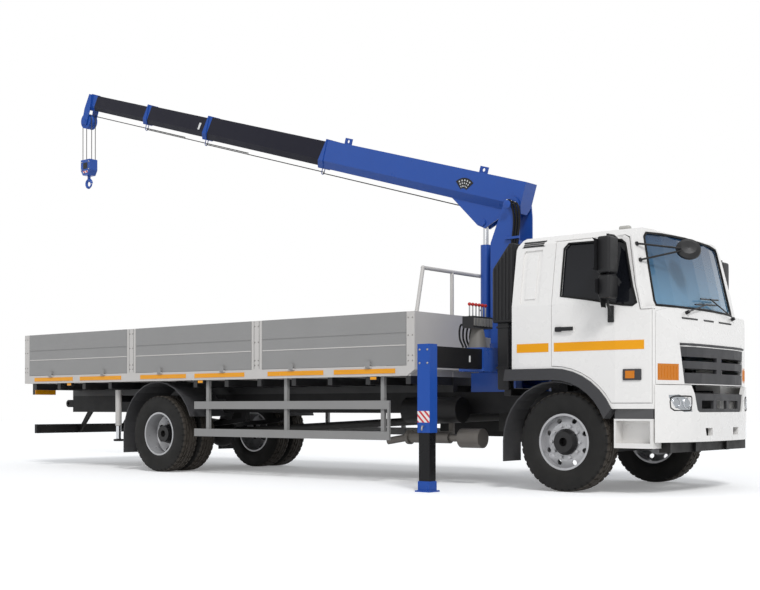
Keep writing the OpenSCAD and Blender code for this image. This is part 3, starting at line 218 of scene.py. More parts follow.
def finish(name, colour, rough, metal=0.0, coat=0.0, grain=90.0, relief=0.05, mottle=0.10,
           grime=0.0, spec=0.5, zones=()):
    """A painted, moulded or bare surface: mottled colour, uneven gloss, fine relief,
    road dirt low down, and zones of other colours, each a mask and a colour."""
    mat, nt, bsdf = new_finish(name)
    col = mix(nt, noise(nt, 2.2), shade(colour, 1 - mottle), shade(colour, 1 + mottle * 0.6))
    for mask, other in zones:
        col = mix(nt, mask(nt), col, other)
    if grime:
        low = spread(nt, axis_of(nt, "Z"), 0.25, 1.35, grime, 0.0)
        dirt = maths(nt, "MULTIPLY", low, spread(nt, noise(nt, 5.0, 8.0), 0.35, 0.7, 0.2, 1.0))
        col = mix(nt, dirt, col, DUST)
    nt.links.new(col, bsdf.inputs["Base Color"])
    nt.links.new(spread(nt, noise(nt, 7.0, 6.0), 0.3, 0.7, max(0.03, rough - 0.07), rough + 0.09),
                 bsdf.inputs["Roughness"])
    bsdf.inputs["Metallic"].default_value = metal
    bsdf.inputs["Specular IOR Level"].default_value = spec
    bsdf.inputs["Coat Weight"].default_value = coat
    bsdf.inputs["Coat Roughness"].default_value = 0.08
    bump(nt, bsdf, noise(nt, grain, 3.0), relief)
    return mat


def glazing(name, colour, top, clear):
    """Glass of a given colour that darkens towards its top; on the screen the colour is a painted reflection,
    on the door windows painted shade of the dark cab inside.
    """
    mat, nt, bsdf = new_finish(name)
    top_fade = spread(nt, axis_of(nt, "Z"), 1.95, 2.62, 0.0, 1.0)
    nt.links.new(mix(nt, top_fade, colour, top), bsdf.inputs["Base Color"])
    nt.links.new(spread(nt, noise(nt, 3.0), 0.3, 0.7, 0.02, 0.06), bsdf.inputs["Roughness"])
    bsdf.inputs["Transmission Weight"].default_value = clear
    bsdf.inputs["IOR"].default_value = 1.35
    return mat


def striped(name, pitch):
    """White tape with slanting red bars."""
    mat, nt, bsdf = new_finish(name)
    slant = maths(nt, "MULTIPLY", maths(nt, "ADD", axis_of(nt, "X"), axis_of(nt, "Z")), 1 / pitch)
    band = maths(nt, "GREATER_THAN", maths(nt, "FRACT", slant), 0.55)
    worn = spread(nt, noise(nt, 30.0), 0.4, 0.8, 0.0, 0.12)
    col = mix(nt, worn, mix(nt, band, (0.74, 0.73, 0.71), (0.55, 0.02, 0.025)), (0.3, 0.3, 0.3))
    nt.links.new(col, bsdf.inputs["Base Color"])
    nt.links.new(spread(nt, noise(nt, 20.0), 0.3, 0.7, 0.25, 0.4), bsdf.inputs["Roughness"])
    return mat


def above(letter, level, soft=0.0005):
    return lambda nt: spread(nt, axis_of(nt, letter), level - soft, level + soft, 0.0, 1.0)


def below(letter, level, soft=0.0005):
    return lambda nt: spread(nt, axis_of(nt, letter), level - soft, level + soft, 1.0, 0.0)


def outside(letter, level):
    return lambda nt: maths(nt, "GREATER_THAN", maths(nt, "ABSOLUTE", axis_of(nt, letter)), level)


def between(letter, lo, hi):
    return both(above(letter, lo), below(letter, hi))


def both(one, two):
    return lambda nt: maths(nt, "MULTIPLY", one(nt), two(nt))


def near_axle(centre, radius, test="LESS_THAN"):
    """Inside a radius about a wheel's axle, or outside it."""
    def mask(nt):
        dx = maths(nt, "SUBTRACT", axis_of(nt, "X"), centre.x)
        dz = maths(nt, "SUBTRACT", axis_of(nt, "Z"), centre.z)
        r2 = maths(nt, "ADD", maths(nt, "MULTIPLY", dx, dx), maths(nt, "MULTIPLY", dz, dz))
        return maths(nt, test, r2, radius * radius)
    return mask


def past_boom(t, rake=0.25, lift=0.115):
    """Beyond a raked cut across the boom."""
    direction = BOOM_DIR + BOOM_UP * rake
    return lambda nt: maths(nt, "GREATER_THAN", along(nt, on_boom(t, 0, lift), direction), 0.0)


def under_boom(level):
    """Below a line along the boom."""
    return lambda nt: maths(nt, "LESS_THAN", along(nt, PIVOT, BOOM_UP), level)


# Modelling, as by hand


def fresh(ob_name):
    ob = bpy.context.object
    ob.name = ob_name
    ob.data.name = ob_name
    return ob


def edit():
    bpy.ops.object.mode_set(mode="EDIT")
    return bmesh.from_edit_mesh(bpy.context.object.data)


def done():
    bpy.ops.object.mode_set(mode="OBJECT")


def everything():
    bpy.ops.mesh.select_all(action="SELECT")


def clear():
    if bpy.context.object and bpy.context.object.mode != "OBJECT":
        done()
    bpy.ops.object.select_all(action="DESELECT")


def settle():
    bpy.ops.object.transform_apply(location=True, rotation=True, scale=True)


def face_out():
    everything()
    bpy.ops.mesh.normals_make_consistent(inside=False)


def pick(*pieces):
    """Selects these pieces alone, the first as the active one."""
    clear()
    for p in pieces:
        p.select_set(True)
    bpy.context.view_layer.objects.active = pieces[0]


def draw_out(move):
    """Extrudes what is selected by a vector."""
    bpy.ops.mesh.extrude_region_move(TRANSFORM_OT_translate={"value": Vector(move)})


def smooth(ob, angle=35):
    pick(ob)
    bpy.ops.object.shade_smooth_by_angle(angle=math.radians(angle))
    return ob


def pick_faces(bm, test):
    for f in bm.faces:
        f.select_set(False)
    for f in bm.faces:
        if test(f):
            f.select_set(True)
    bm.select_flush(True)
    bmesh.update_edit_mesh(bpy.context.object.data)


def slab(name, low, high, round_by=0.004, parts=2):
    """A block between two corners with rounded edges."""
    clear()
    low, high = Vector(low), Vector(high)
    bpy.ops.mesh.primitive_cube_add(size=1, location=(low + high) / 2)
    ob = fresh(name)
    ob.scale = high - low
    settle()
    edit()
    everything()
    bpy.ops.mesh.bevel(offset=round_by, segments=parts, affect="EDGES")
    done()
    return ob


def path(name, points, closed=False):
    """A line of edges drawn by extruding one vertex from point to point."""
    clear()
    points = [Vector(p) for p in points]
    bpy.ops.mesh.primitive_plane_add(size=0.01, location=points[0])
    ob = fresh(name)
    settle()
    edit()
    everything()
    bpy.ops.mesh.merge(type="CENTER")
    for a, b in zip(points, points[1:]):
        draw_out(b - a)
    if closed:
        bm = bmesh.from_edit_mesh(ob.data)
        ends = [v for v in bm.verts if len(v.link_edges) == 1]
        for v in bm.verts:
            v.select_set(v in ends)
        bmesh.update_edit_mesh(ob.data)
        bpy.ops.mesh.edge_face_add()
    done()
    return ob


def tube(name, points, radius, closed=False, ring=3):
    """A round bar or hose along a line of points."""
    path(name, points, closed)
    bpy.ops.object.convert(target="CURVE")
    curve = bpy.context.object.data
    curve.bevel_depth = radius
    curve.bevel_resolution = ring
    curve.use_fill_caps = not closed
    bpy.ops.object.convert(target="MESH")
    return smooth(fresh(name), 50)


def bent(points, steps=6):
    """Points of a smooth line through the given ones, as a hose hangs."""
    points = [Vector(p) for p in points]
    ends = [2 * points[0] - points[1]] + points + [2 * points[-1] - points[-2]]
    line = []
    for p0, p1, p2, p3 in zip(ends, ends[1:], ends[2:], ends[3:]):
        for i in range(steps):
            u = i / steps
            line.append(0.5 * (2 * p1 + (p2 - p0) * u + (2 * p0 - 5 * p1 + 4 * p2 - p3) * u * u
                               + (3 * p1 - p0 - 3 * p2 + p3) * u ** 3))
    return line + [points[-1]]


def circle(centre, u, v, radius, start=0, stop=360, steps=24):
    """Points of an arc about a centre, in the plane of two directions."""
    turns = [math.radians(start + (stop - start) * i / steps) for i in range(steps)]
    return [centre + (Vector(u) * math.cos(a) + Vector(v) * math.sin(a)) * radius for a in turns]


def turned(name, centre, profile, steps, axis=(0, 1, 0)):
    """A profile of (radius, across) points spun about an axis through the centre."""
    axis = Vector(axis).normalized()
    other = Vector((0, 0, 1)) if abs(axis.z) < 0.9 else Vector((1, 0, 0))
    out = (other - axis * other.dot(axis)).normalized()
    ob = path(name, [centre + out * r + axis * w for r, w in profile])
    edit()
    everything()
    bpy.ops.mesh.spin(steps=steps, angle=2 * math.pi, center=centre, axis=axis)
    everything()
    bpy.ops.mesh.remove_doubles(threshold=0.0002)
    face_out()
    done()
    return ob


def bolt(spot, axis, radius=0.011, high=0.007):
    """A domed bolt head standing on a surface."""
    tip = 0.0004
    ob = turned("bolt", Vector(spot), [(tip, -0.001), (radius, -0.001), (radius, high * 0.5),
                                       (radius * 0.7, high), (tip, high)], 8, axis)
    return smooth(ob, 30)


def plate(name, outline, direction, round_by=0.0):
    """A flat outline of points, filled and drawn out by a vector."""
    ob = path(name, outline, closed=True)
    edit()
    everything()
    bpy.ops.mesh.edge_face_add()
    draw_out(direction)
    face_out()
    if round_by:
        bpy.ops.mesh.bevel(offset=round_by, segments=2, affect="EDGES")
    done()
    return ob


def band(name, points, rise, out):
    """A strip of sheet: a line of points drawn up and then outwards."""
    ob = path(name, points)
    edit()
    everything()
    draw_out(rise)
    everything()
    draw_out(out)
    face_out()
    done()
    return ob


def joined(name, pieces):
    pick(*pieces)
    if len(pieces) > 1:
        bpy.ops.object.join()
    return fresh(name)


def copy_of(ob, name, move=(0, 0, 0), flip=False):
    """A copy with its own mesh, moved, or mirrored to the other side."""
    pick(ob)
    bpy.ops.object.duplicate()
    new = fresh(name)
    new.location = move
    if flip:
        new.scale.y = -1
    settle()
    if flip:
        edit()
        face_out()
        done()
    return new


def fit(ob, body, wears, replaces=()):
    """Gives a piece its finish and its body."""
    ob.data.materials.clear()
    ob.data.materials.append(FINISH[wears])
    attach(ob, body)
    if replaces:
        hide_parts(*replaces)
    return ob


def fit_pair(ob, body, wears, replaces=()):
    """A piece on the right and its mirrored twin on the left."""
    name = ob.name
    ob.name = name + "_right"
    other = copy_of(ob, name + "_left", flip=True)
    fit(ob, body, wears, replaces)
    fit(other, body.replace("right", "left"), wears,
        [n.replace("right", "left") for n in replaces])


def clad(nodes, material):
    """Gives CAD nodes a finish."""
    for n in nodes:
        data = frame["nodes"][n].data
        data.materials.clear()
        data.materials.append(material)


# Settings


class TruckSizes(bpy.types.PropertyGroup):
    """Sizes of the trim."""
    stripe_low: FloatProperty(name="Stripe Bottom", description="Height of the orange stripe's lower edge",
                              default=1.458, unit="LENGTH")
    stripe_high: FloatProperty(name="Stripe Top", description="Height of the orange stripe's upper edge",
                               default=1.550, unit="LENGTH")
    hose_d: FloatProperty(name="Hose Diameter", description="Diameter of the hydraulic hoses",
                          default=0.028, unit="LENGTH")
    rope_d: FloatProperty(name="Rope Diameter", description="Diameter of the hoist rope",
                          default=0.014, unit="LENGTH")
    tread_depth: FloatProperty(name="Tread Depth", description="Depth of the tyres' grooves",
                               default=0.014, unit="LENGTH")
    tread_steps: IntProperty(name="Tread Blocks", description="Steps of the tread around a tyre",
                             default=120, min=24, max=240)


class TruckColours(bpy.types.PropertyGroup):
    """Colours of the paint and trim."""
    cab: FloatVectorProperty(name="Cab", description="Paint of the cab", subtype="COLOR", size=3,
                             default=(0.78, 0.765, 0.745))
    crane: FloatVectorProperty(name="Crane", description="Paint of the crane", subtype="COLOR", size=3,
                               default=(0.016, 0.074, 0.345))
    boom: FloatVectorProperty(name="Boom", description="Paint of the inner boom sections", subtype="COLOR",
                              size=3, default=(0.004, 0.004, 0.013))
    boards: FloatVectorProperty(name="Boards", description="Paint of the drop boards", subtype="COLOR",
                                size=3, default=(0.265, 0.262, 0.258))
    rails: FloatVectorProperty(name="Rails", description="Paint of the rails and posts", subtype="COLOR",
                               size=3, default=(0.53, 0.51, 0.49))
    amber: FloatVectorProperty(name="Amber", description="Lamps and reflectors", subtype="COLOR", size=3,
                               default=(0.78, 0.32, 0.006))


# CAD nodes by the finish that they wear
CLADDING = {
    "cab": ("cab_shell", "cab_front", "bumper", "door_right", "door_left"),
    "steps": ("cab_steps",),
    "chassis": ("chassis_frame", "front_axle", "rear_axle", "tanks", "knuckle_right", "knuckle_left"),
    "dark": ("mudguards", "arch_flares", "grilles"),
    "controls": ("controls",),
    "cloth": ("cab_inside",),
    "black": ("snorkel", "wipers", "mirrors_right", "mirrors_left"),
    "crane": ("crane_base", "column", "lift_barrel", "boom_base"),
    "beam": ("beam_right", "beam_left"),
    "leg": ("leg_right", "leg_left"),
    "boards": SIDE_BOARDS + ("tailgate",),
    "guards": ("side_guards",),
    "deck": ("deck",),
    "rails": ("headboard",),
    "chrome": ("lift_rod",),
    "exhaust": ("exhaust",),
    "engine": ("powertrain",),
    "screen": ("cab_glass",),
    "window": ("door_glass_right", "door_glass_left"),
    "amber": ("lamps",),
    "lamp": ("headlamps",),
    "block": ("hook_block",),
}

# Operators


class TRUCK_OT_paint(bpy.types.Operator):
    """Mix the finishes and give them to the truck's solid pieces"""
    bl_idname = "truck.paint"
    bl_label = "Paint the Truck"

    def mix_paints(self, c):
        """Fills the table of finishes."""
        f = FINISH
        black, dark, ink = (0.008, 0.008, 0.009), (0.048, 0.048, 0.051), (0.012, 0.012, 0.013)
        rope = (0.05, 0.049, 0.047)
        tail = both(below("X", DECK[0].x + 0.1), below("Z", DECK[0].z + 0.3))
        tail_lens = both(below("X", DECK[0].x + 0.0115), outside("Y", 0.79))
        corner = above("X", AXLE.x)
        # Key, material, colour, roughness, grain, relief, mottle and what else the finish has
        paints = (
            ("cab", "cab_paint", c.cab, 0.28, 160, 0.004, 0.02, dict(coat=0.4, grime=0.05)),
            ("steps", "step_paint", c.cab, 0.32, 90, 0.01, 0.03,
             dict(coat=0.4, grime=0.12, zones=[(between("Z", 0.764, 0.9), dark)])),
            ("chassis", "chassis_paint", black, 0.45, 70, 0.12, 0.25, dict(grime=0.08, spec=0.2)),
            ("dark", "dark_moulding", dark, 0.55, 420, 0.15, 0.12, dict(grime=0.1, spec=0.25)),
            ("black", "black_moulding", ink, 0.42, 380, 0.12, 0.15, dict(spec=0.3)),
            ("rubber", "seal_rubber", (0.009, 0.009, 0.009), 0.62, 300, 0.2, 0.2, dict(spec=0.2)),
            ("crane", "crane_paint", c.crane, 0.34, 120, 0.02, 0.06, dict(coat=0.15, spec=0.3)),
            ("beam", "beam_paint", black, 0.35, 80, 0.06, 0.2,
             dict(spec=0.2, zones=[(outside("Y", 1.934), c.crane)])),
            ("leg", "leg_paint", black, 0.3, 80, 0.06, 0.2,
             dict(spec=0.2, zones=[(below("Z", 0.112), c.crane)])),
            ("boards", "board_paint", c.boards, 0.42, 60, 0.05, 0.06, dict(spec=0.4)),
            ("guards", "guard_paint", shade(c.boards, 0.92), 0.42, 60, 0.05, 0.06,
             dict(grime=0.06, spec=0.4)),
            ("rails", "rail_paint", c.rails, 0.4, 70, 0.04, 0.06, {}),
            ("deck", "deck_paint", c.rails, 0.4, 70, 0.04, 0.06, dict(zones=[(below("Z", 1.239), black)])),
            ("chrome", "rod_chrome", (0.62, 0.63, 0.65), 0.12, 300, 0.03, 0.05, dict(metal=1.0)),
            ("steel", "bare_steel", (0.3, 0.29, 0.275), 0.36, 200, 0.1, 0.2, dict(metal=0.7)),
            ("exhaust", "exhaust_steel", (0.13, 0.12, 0.11), 0.42, 150, 0.1, 0.25,
             dict(metal=0.6, grime=0.2)),
            ("engine", "engine_iron", (0.03, 0.03, 0.03), 0.55, 90, 0.3, 0.3, dict(grime=0.12, spec=0.25)),
            ("cloth", "seat_cloth", (0.022, 0.023, 0.026), 0.85, 520, 0.4, 0.2, dict(spec=0.2)),
            ("orange", "orange_tape", (0.8, 0.34, 0.006), 0.4, 500, 0.1, 0.05, dict(spec=0.25)),
            ("lamp", "lamp_bowl", (0.34, 0.36, 0.38), 0.18, 60, 0.1, 0.15, dict(metal=0.75, coat=0.8)),
            ("white", "white_plate", (0.7, 0.7, 0.69), 0.3, 300, 0.05, 0.04, dict(coat=0.3)),
            ("roof_lamp", "roof_lamp_lens", (0.42, 0.41, 0.38), 0.2, 90, 0.1, 0.12, dict(coat=0.6)),
            ("amber", "amber_lens", c.amber, 0.2, 140, 0.12, 0.1,
             dict(coat=0.15, spec=0.3, zones=[(tail, ink), (tail_lens, (0.42, 0.012, 0.012)),
                                              (corner, (0.56, 0.17, 0.004))])),
            ("rope", "wire_rope", rope, 0.45, 600, 0.5, 0.3, dict(metal=0.5, spec=0.3)),
            ("block", "block_paint", c.crane, 0.34, 120, 0.03, 0.08,
             dict(coat=0.15, spec=0.3, zones=[(above("Z", HANG.z - 0.619), rope)])),
            ("controls", "control_paint", (0.17, 0.16, 0.145), 0.45, 90, 0.1, 0.12,
             dict(spec=0.3, zones=[(above("Z", BANK[0].z + 0.225), ink),
                                   (above("Z", BANK[0].z + 0.362), (0.4, 0.4, 0.4)),
                                   (above("Z", BANK[0].z + 0.47), (0.45, 0.02, 0.015))])),
        )
        for key, name, colour, rough, grain, relief, mottle, more in paints:
            f[key] = finish(name, colour, rough, grain=grain, relief=relief, mottle=mottle, **more)
        # The screen's blue colour is a painted reflection.
        f["screen"] = glazing("screen_glass_painted_reflection", (0.22, 0.43, 0.62), (0.035, 0.095, 0.2), 0.45)
        # The door windows' near-black colour is painted shade of the dark cab inside.
        f["window"] = glazing("window_glass_painted_shade", (0.012, 0.013, 0.017), (0.006, 0.007, 0.01), 0.25)
        f["tape"] = striped("striped_tape", 0.068)

    def execute(self, context):
        c = context.scene.truck_colours
        f = FINISH
        self.mix_paints(c)
        collar, head, sheave_line = 0.092, 0.150, -0.006
        for node, end in (("boom_2", 5.56 - collar), ("boom_3", 6.965 - collar), ("boom_4", 8.395 - head)):
            zones = [(past_boom(end), c.crane)]
            if node == "boom_4":
                zones.append((under_boom(sheave_line), c.crane))
            clad([node], finish(node + "_paint", c.boom, 0.40, grain=120, relief=0.02,
                                mottle=0.12, spec=0.22, zones=zones))
        for end, centre in (("front", AXLE), ("rear", REAR_AXLE)):
            rim = finish(end + "_rim_paint", (0.44, 0.44, 0.45), 0.33, metal=0.4, grain=140, relief=0.06,
                         mottle=0.08, grime=0.06, zones=[(near_axle(centre, 0.137), (0.012, 0.012, 0.013))])
            tread = near_axle(centre, TYRE_R - 0.011, "GREATER_THAN")
            f[end + "_tyre"] = finish(end + "_tyre_rubber", (0.010, 0.0098, 0.0095), 0.70, grain=220,
                                      relief=0.3, mottle=0.25, grime=0.04, spec=0.25,
                                      zones=[(tread, (0.040, 0.034, 0.028))])
            clad([n for n in frame["nodes"] if n.startswith("rim") and end in n], rim)
            clad([n for n in frame["nodes"] if n.startswith("tyre") and end in n], f[end + "_tyre"])
        for key, nodes in CLADDING.items():
            clad(nodes, f[key])
        return {"FINISHED"}


class TRUCK_OT_tyres(bpy.types.Operator):
    """Turn the tyres with ribs, grooves and cut shoulders"""
    bl_idname = "truck.tyres"
    bl_label = "Make the Tyres"

    def tyre(self, context, name, centre):
        s = context.scene.truck_sizes
        d, r, w = s.tread_depth, TYRE_R, TYRE_W / 2
        inner = r - 0.235
        half = [(inner, w - 0.036), (inner + 0.012, w - 0.020), (inner + 0.030, w - 0.014),
                (inner + 0.034, w - 0.010), (inner + 0.080, w - 0.002), (inner + 0.120, w - 0.0005),
                (inner + 0.150, w - 0.003), (r - 0.050, w - 0.006), (r - 0.030, w - 0.012),
                (r - 0.012, w - 0.020), (r - 0.003, w - 0.030), (r - 0.0015, w - 0.062),
                (r - 0.001 - d, w - 0.064), (r - 0.001 - d, w - 0.074), (r - 0.001, w - 0.076),
                (r - 0.0005, w - 0.106), (r - 0.0005 - d, w - 0.108), (r - 0.0005 - d, w - 0.118),
                (r, w - 0.120)]
        profile = half + [(a, -b) for a, b in reversed(half)]
        ob = turned(name, centre, profile + [profile[0]], s.tread_steps)
        step = 2 * math.pi / s.tread_steps

        def cut(face):
            m = face.calc_center_median() - centre
            rad = math.hypot(m.x, m.z)
            turn = int(math.atan2(m.z, m.x) / step + 1000)
            if rad > r - 0.031 and abs(m.y) > w - 0.061:
                return turn % 3 == 0
            ribs = rad > r - 0.002 and w - 0.106 < abs(m.y) < w - 0.076
            return ribs and (turn + (1 if m.y > 0 else 0)) % 4 == 0

        pick_faces(edit(), cut)
        bpy.ops.mesh.inset(thickness=0.0015, depth=-0.008, use_individual=False)
        done()
        return smooth(ob, 40)

    def execute(self, context):
        front = self.tyre(context, "front_tyre_right", AXLE)
        inner = Vector((REAR_AXLE.x, REAR_TYRES[1].y - TYRE_W / 2, REAR_AXLE.z))
        outer = Vector((REAR_AXLE.x, REAR_TYRES[0].y + TYRE_W / 2, REAR_AXLE.z))
        left = copy_of(front, "front_tyre_left", (0, -2 * AXLE.y, 0))
        pair = joined("rear_tyres_right", [copy_of(front, "outer", outer - AXLE),
                                           copy_of(front, "inner", inner - AXLE)])
        other = copy_of(pair, "rear_tyres_left", (0, -outer.y - inner.y, 0))
        for ob, body, node, end in ((front, "wheel_front_right", "tyre_front_right", "front"),
                                    (left, "wheel_front_left", "tyre_front_left", "front"),
                                    (pair, "wheels_rear_right", "tyres_rear_right", "rear"),
                                    (other, "wheels_rear_left", "tyres_rear_left", "rear")):
            fit(ob, body, end + "_tyre", [node])
        return {"FINISHED"}


class TRUCK_OT_mirrors(bpy.types.Operator):
    """Shape the door mirrors' rounded housings, arms and feet"""
    bl_idname = "truck.mirrors"
    bl_label = "Make the Mirrors"

    def housing(self, name, low, high):
        ob = slab(name, low, high, 0.030, 3)
        rounder = ob.modifiers.new("rounder", "SUBSURF")
        rounder.levels = rounder.render_levels = 2
        pick(ob)
        bpy.ops.object.modifier_apply(modifier=rounder.name)
        pick_faces(edit(), lambda f: f.normal.x < -0.97)
        bpy.ops.mesh.inset(thickness=0.008, depth=0.0)
        bpy.ops.mesh.inset(thickness=0.003, depth=-0.006)
        done()
        return smooth(ob, 40)

    def execute(self, context):
        y = -1.39
        x = 0.64
        top, foot = side_at(0.60, 2.575), side_at(0.58, 1.76)
        parts = [self.housing("big_mirror", at(0.560, y - 0.088, 2.205), at(0.705, y + 0.115, 2.575)),
                 self.housing("wide_mirror", at(0.566, y - 0.080, 1.955), at(0.70, y + 0.120, 2.195)),
                 tube("mirror_stem", [at(x, y, 1.93), at(x, y, 2.60)], 0.012),
                 tube("mirror_top_arm", [at(x, y, 2.59), at(x - 0.01, y + 0.15, 2.598), top], 0.012),
                 tube("mirror_low_arm", [at(x, y, 1.94), at(x - 0.015, y + 0.03, 1.90),
                                         at(0.59, foot.y - 0.025, 1.80), foot - ACROSS * 0.014], 0.014),
                 slab("mirror_foot", at(0.548, foot.y - 0.026, 1.733),
                      at(0.612, foot.y - 0.0005, 1.90), 0.006)]
        fit_pair(joined("door_mirror", parts), "door_right", "black",
                 ["mirrors_right"])
        return {"FINISHED"}


class TRUCK_OT_cab_trim(bpy.types.Operator):
    """Add stripes, window seals, handles, lamps and vents to the cab's sides"""
    bl_idname = "truck.cab_trim"
    bl_label = "Trim the Cab"

    def stripe(self, name, body, spans, s):
        rise = Vector((0, 0, s.stripe_high - s.stripe_low))
        ob = band(name, [side_at(x, s.stripe_low, 0.0004) for x in spans], rise, (0, -0.002, 0))
        fit_pair(ob, body, "orange")

    def panel(self, name, spans, low, high, thick, sink=0.0):
        """A raised panel that follows the lean of the cab's side."""
        corners = [side_at(x, z, sink) for x, z in ((spans[0], low), (spans[1], low), (spans[1], high),
                                                    (spans[0], high))]
        return plate(name, corners, (0, -thick, 0), thick * 0.4)

    def execute(self, context):
        s = context.scene.truck_sizes
        self.stripe("door_stripe", "door_right", (-0.085, 0.3, 0.618, 0.64, 0.80, 0.92), s)
        self.stripe("cab_stripe", "truck", (-0.538, -0.3, -0.150), s)
        window = [(-0.012, 2.033), (0.15, 2.008), (0.30, 1.983), (0.45, 1.953), (0.60, 1.922),
                  (0.70, 1.906), (0.799, 1.896), (0.842, 1.923), (0.80, 2.09), (0.75, 2.285),
                  (0.688, 2.532), (0.641, 2.572), (0.35, 2.578), (0.036, 2.584), (-0.012, 2.534),
                  (-0.012, 2.28)]
        seal = [touch(("door_right", "cab_shell"), at(x, -3, z), ACROSS)[0] for x, z in window]
        fit_pair(tube("window_seal", seal, 0.011, closed=True), "door_right",
                 "rubber")
        side = side_at(0.1, 1.60).y
        grip = joined("door_handle", [
            slab("grip", at(0.012, side - 0.036, 1.668), at(0.158, side - 0.027, 1.708), 0.003, 3),
            slab("pull", at(-0.062, side - 0.030, 1.662), at(0.014, side - 0.0005, 1.712), 0.008, 3)])
        fit_pair(grip, "door_right", "black")
        fit_pair(self.panel("side_marker", (0.705, 0.895), 1.150, 1.262, 0.018), "door_right",
                 "dark")
        fit_pair(self.panel("side_lens", (0.735, 0.830), 1.168, 1.244, 0.006, 0.0185), "door_right",
                 "amber")
        fit_pair(self.panel("sleeper_panel", (-0.455, -0.322), 2.02, 2.50, 0.010), "truck",
                 "cab")
        slats = [self.panel("slat", (-0.515, -0.265), 2.588 + 0.020 * i, 2.600 + 0.020 * i, 0.009)
                 for i in range(3)]
        slats.append(self.panel("vent_frame", (-0.530, -0.250), 2.580, 2.648, 0.004))
        fit_pair(joined("roof_vent", slats), "truck", "black")
        # Gutter above the door
        line = ((-0.14, 2.628), (0.2, 2.628), (0.5, 2.624), (0.66, 2.606))
        gutter = [side_at(x, z, 0.001) for x, z in line]
        fit_pair(tube("door_gutter", gutter, 0.007), "truck", "cab")
        return {"FINISHED"}


class TRUCK_OT_nose(bpy.types.Operator):
    """Add the lamp rims, the screen's seal, cowl slots and roof lamps to the cab's front"""
    bl_idname = "truck.nose"
    bl_label = "Dress the Nose"

    def execute(self, context):
        half = [(0.0, 1.908), (0.35, 1.908), (0.65, 1.908), (0.85, 1.908), (0.936, 1.908), (0.951, 1.955),
                (0.925, 2.29), (0.896, 2.612), (0.853, 2.656), (0.6, 2.665), (0.3, 2.676), (0.0, 2.686)]
        outline = [(-y, z) for y, z in half] + half[-2:0:-1]
        seal = tube("screen_seal", [nose_at(y, z) for y, z in outline], 0.013, closed=True)
        fit(seal, "truck", "rubber")
        # Rims and lenses of the main lamps
        rings, lenses = [], []
        lamp_z = 0.922
        for y, r in ((-0.745, 0.056), (-0.890, 0.052)):
            spot, normal = from_ahead(("headlamps",), y, lamp_z)
            rim = [(r, -0.004), (r, 0.006), (r * 0.93, 0.010), (r * 0.84, 0.004), (r * 0.84, -0.004),
                   (r, -0.004)]
            lens = [(0.0004, 0.010), (r * 0.4, 0.009), (r * 0.7, 0.006), (r * 0.83, 0.002),
                    (r * 0.83, -0.002), (0.0004, -0.002)]
            rings.append(smooth(turned("rim", spot, rim, 32, normal), 40))
            lenses.append(smooth(turned("lens", spot, lens, 32, normal), 40))
        fit_pair(joined("lamp_rims", rings), "truck", "chrome")
        fit_pair(joined("lamp_lenses", lenses), "truck", "lamp")
        edge = [(-0.690, 0.862), (-0.700, 0.848), (-0.80, 0.846), (-0.92, 0.850), (-0.960, 0.875),
                (-0.968, 0.94), (-0.95, 0.978), (-0.90, 0.992), (-0.78, 0.992), (-0.70, 0.990),
                (-0.685, 0.975), (-0.684, 0.92)]
        seal = [from_ahead(("headlamps", "bumper"), y, z)[0] for y, z in edge]
        fit_pair(tube("lamp_seal", seal, 0.007, closed=True), "truck", "rubber")
        # Flutes on the corner lamps
        flutes = []
        lens_low, lens_high = 1.172, 1.292
        for y in (-0.84, -0.88, -0.92, -0.96, -1.00, -1.04, -1.08):
            ends = [from_ahead(("lamps",), y, z)[0] for z in (lens_low, lens_high)]
            flutes.append(tube("flute", ends, 0.005))
        fit_pair(joined("corner_flutes", flutes), "truck", "amber")
        # Marker lamps on the edge of the roof
        roof = touch(("cab_shell",), at(0.60, -0.94, 4), (0, 0, -1))[0]
        lamp = slab("roof_lamp", roof + Vector((-0.062, -0.032, -0.012)),
                    roof + Vector((0.062, 0.032, 0.034)), 0.020, 4)
        fit_pair(smooth(lamp, 50), "truck", "roof_lamp")
        # Slots below the screen
        slots = [tube("slot", [nose_at(y, 1.79) for y in ys], 0.010)
                 for ys in ((-0.62, -0.45, -0.28), (-0.12, 0.0, 0.12), (0.28, 0.45, 0.62))]
        fit(joined("cowl_slots", slots), "truck", "black")
        # Ledge along the top of the grille
        ledge = [nose_at(0.2 * i, 1.515, 0.004) for i in range(-4, 5)]
        fit(tube("grille_ledge", ledge, 0.013), "truck", "dark")
        return {"FINISHED"}


class TRUCK_OT_snorkel(bpy.types.Operator):
    """Shape the ribbed air intake behind the cab"""
    bl_idname = "truck.snorkel"
    bl_label = "Make the Air Intake"

    def execute(self, context):
        y0, y1 = -1.082, -0.905
        back, fore, low, mid, top = -0.925, -0.655, 1.80, 2.39, 2.655
        body = plate("intake_body", [at(back, y0, low), at(fore, y0, low), at(fore, y0, top),
                                     at(fore - 0.06, y0, top), at(back, y0, mid)], (0, y1 - y0, 0), 0.012)
        parts = [body]
        ribs = 6
        for i in range(ribs):
            x = back + 0.022 + (fore - back - 0.044) * i / (ribs - 1)
            high = min(top - 0.03, mid + (top - mid) * (x - back) / (fore - 0.06 - back) - 0.03)
            parts.append(tube("rib", [at(x, y0, low + 0.03), at(x, y0, high)], 0.012))
        for i in range(4):
            y = y0 + 0.022 + (y1 - y0 - 0.044) * i / 3
            parts.append(tube("rib", [at(back, y, low + 0.03), at(back, y, mid - 0.03)], 0.010))
        parts.append(slab("duct", at(-0.885, -1.055, 1.07), at(-0.735, -0.935, low + 0.01), 0.02, 3))
        parts.append(slab("elbow", at(-0.83, -1.0, 1.005), at(-0.74, -0.43, 1.09), 0.01, 3))
        for z in (1.74, 1.30):
            parts.append(slab("clamp", at(-0.893, -1.063, z), at(-0.727, -0.927, z + 0.024), 0.006, 2))
        fit(joined("air_intake", parts), "truck", "black", ["snorkel"])
        return {"FINISHED"}


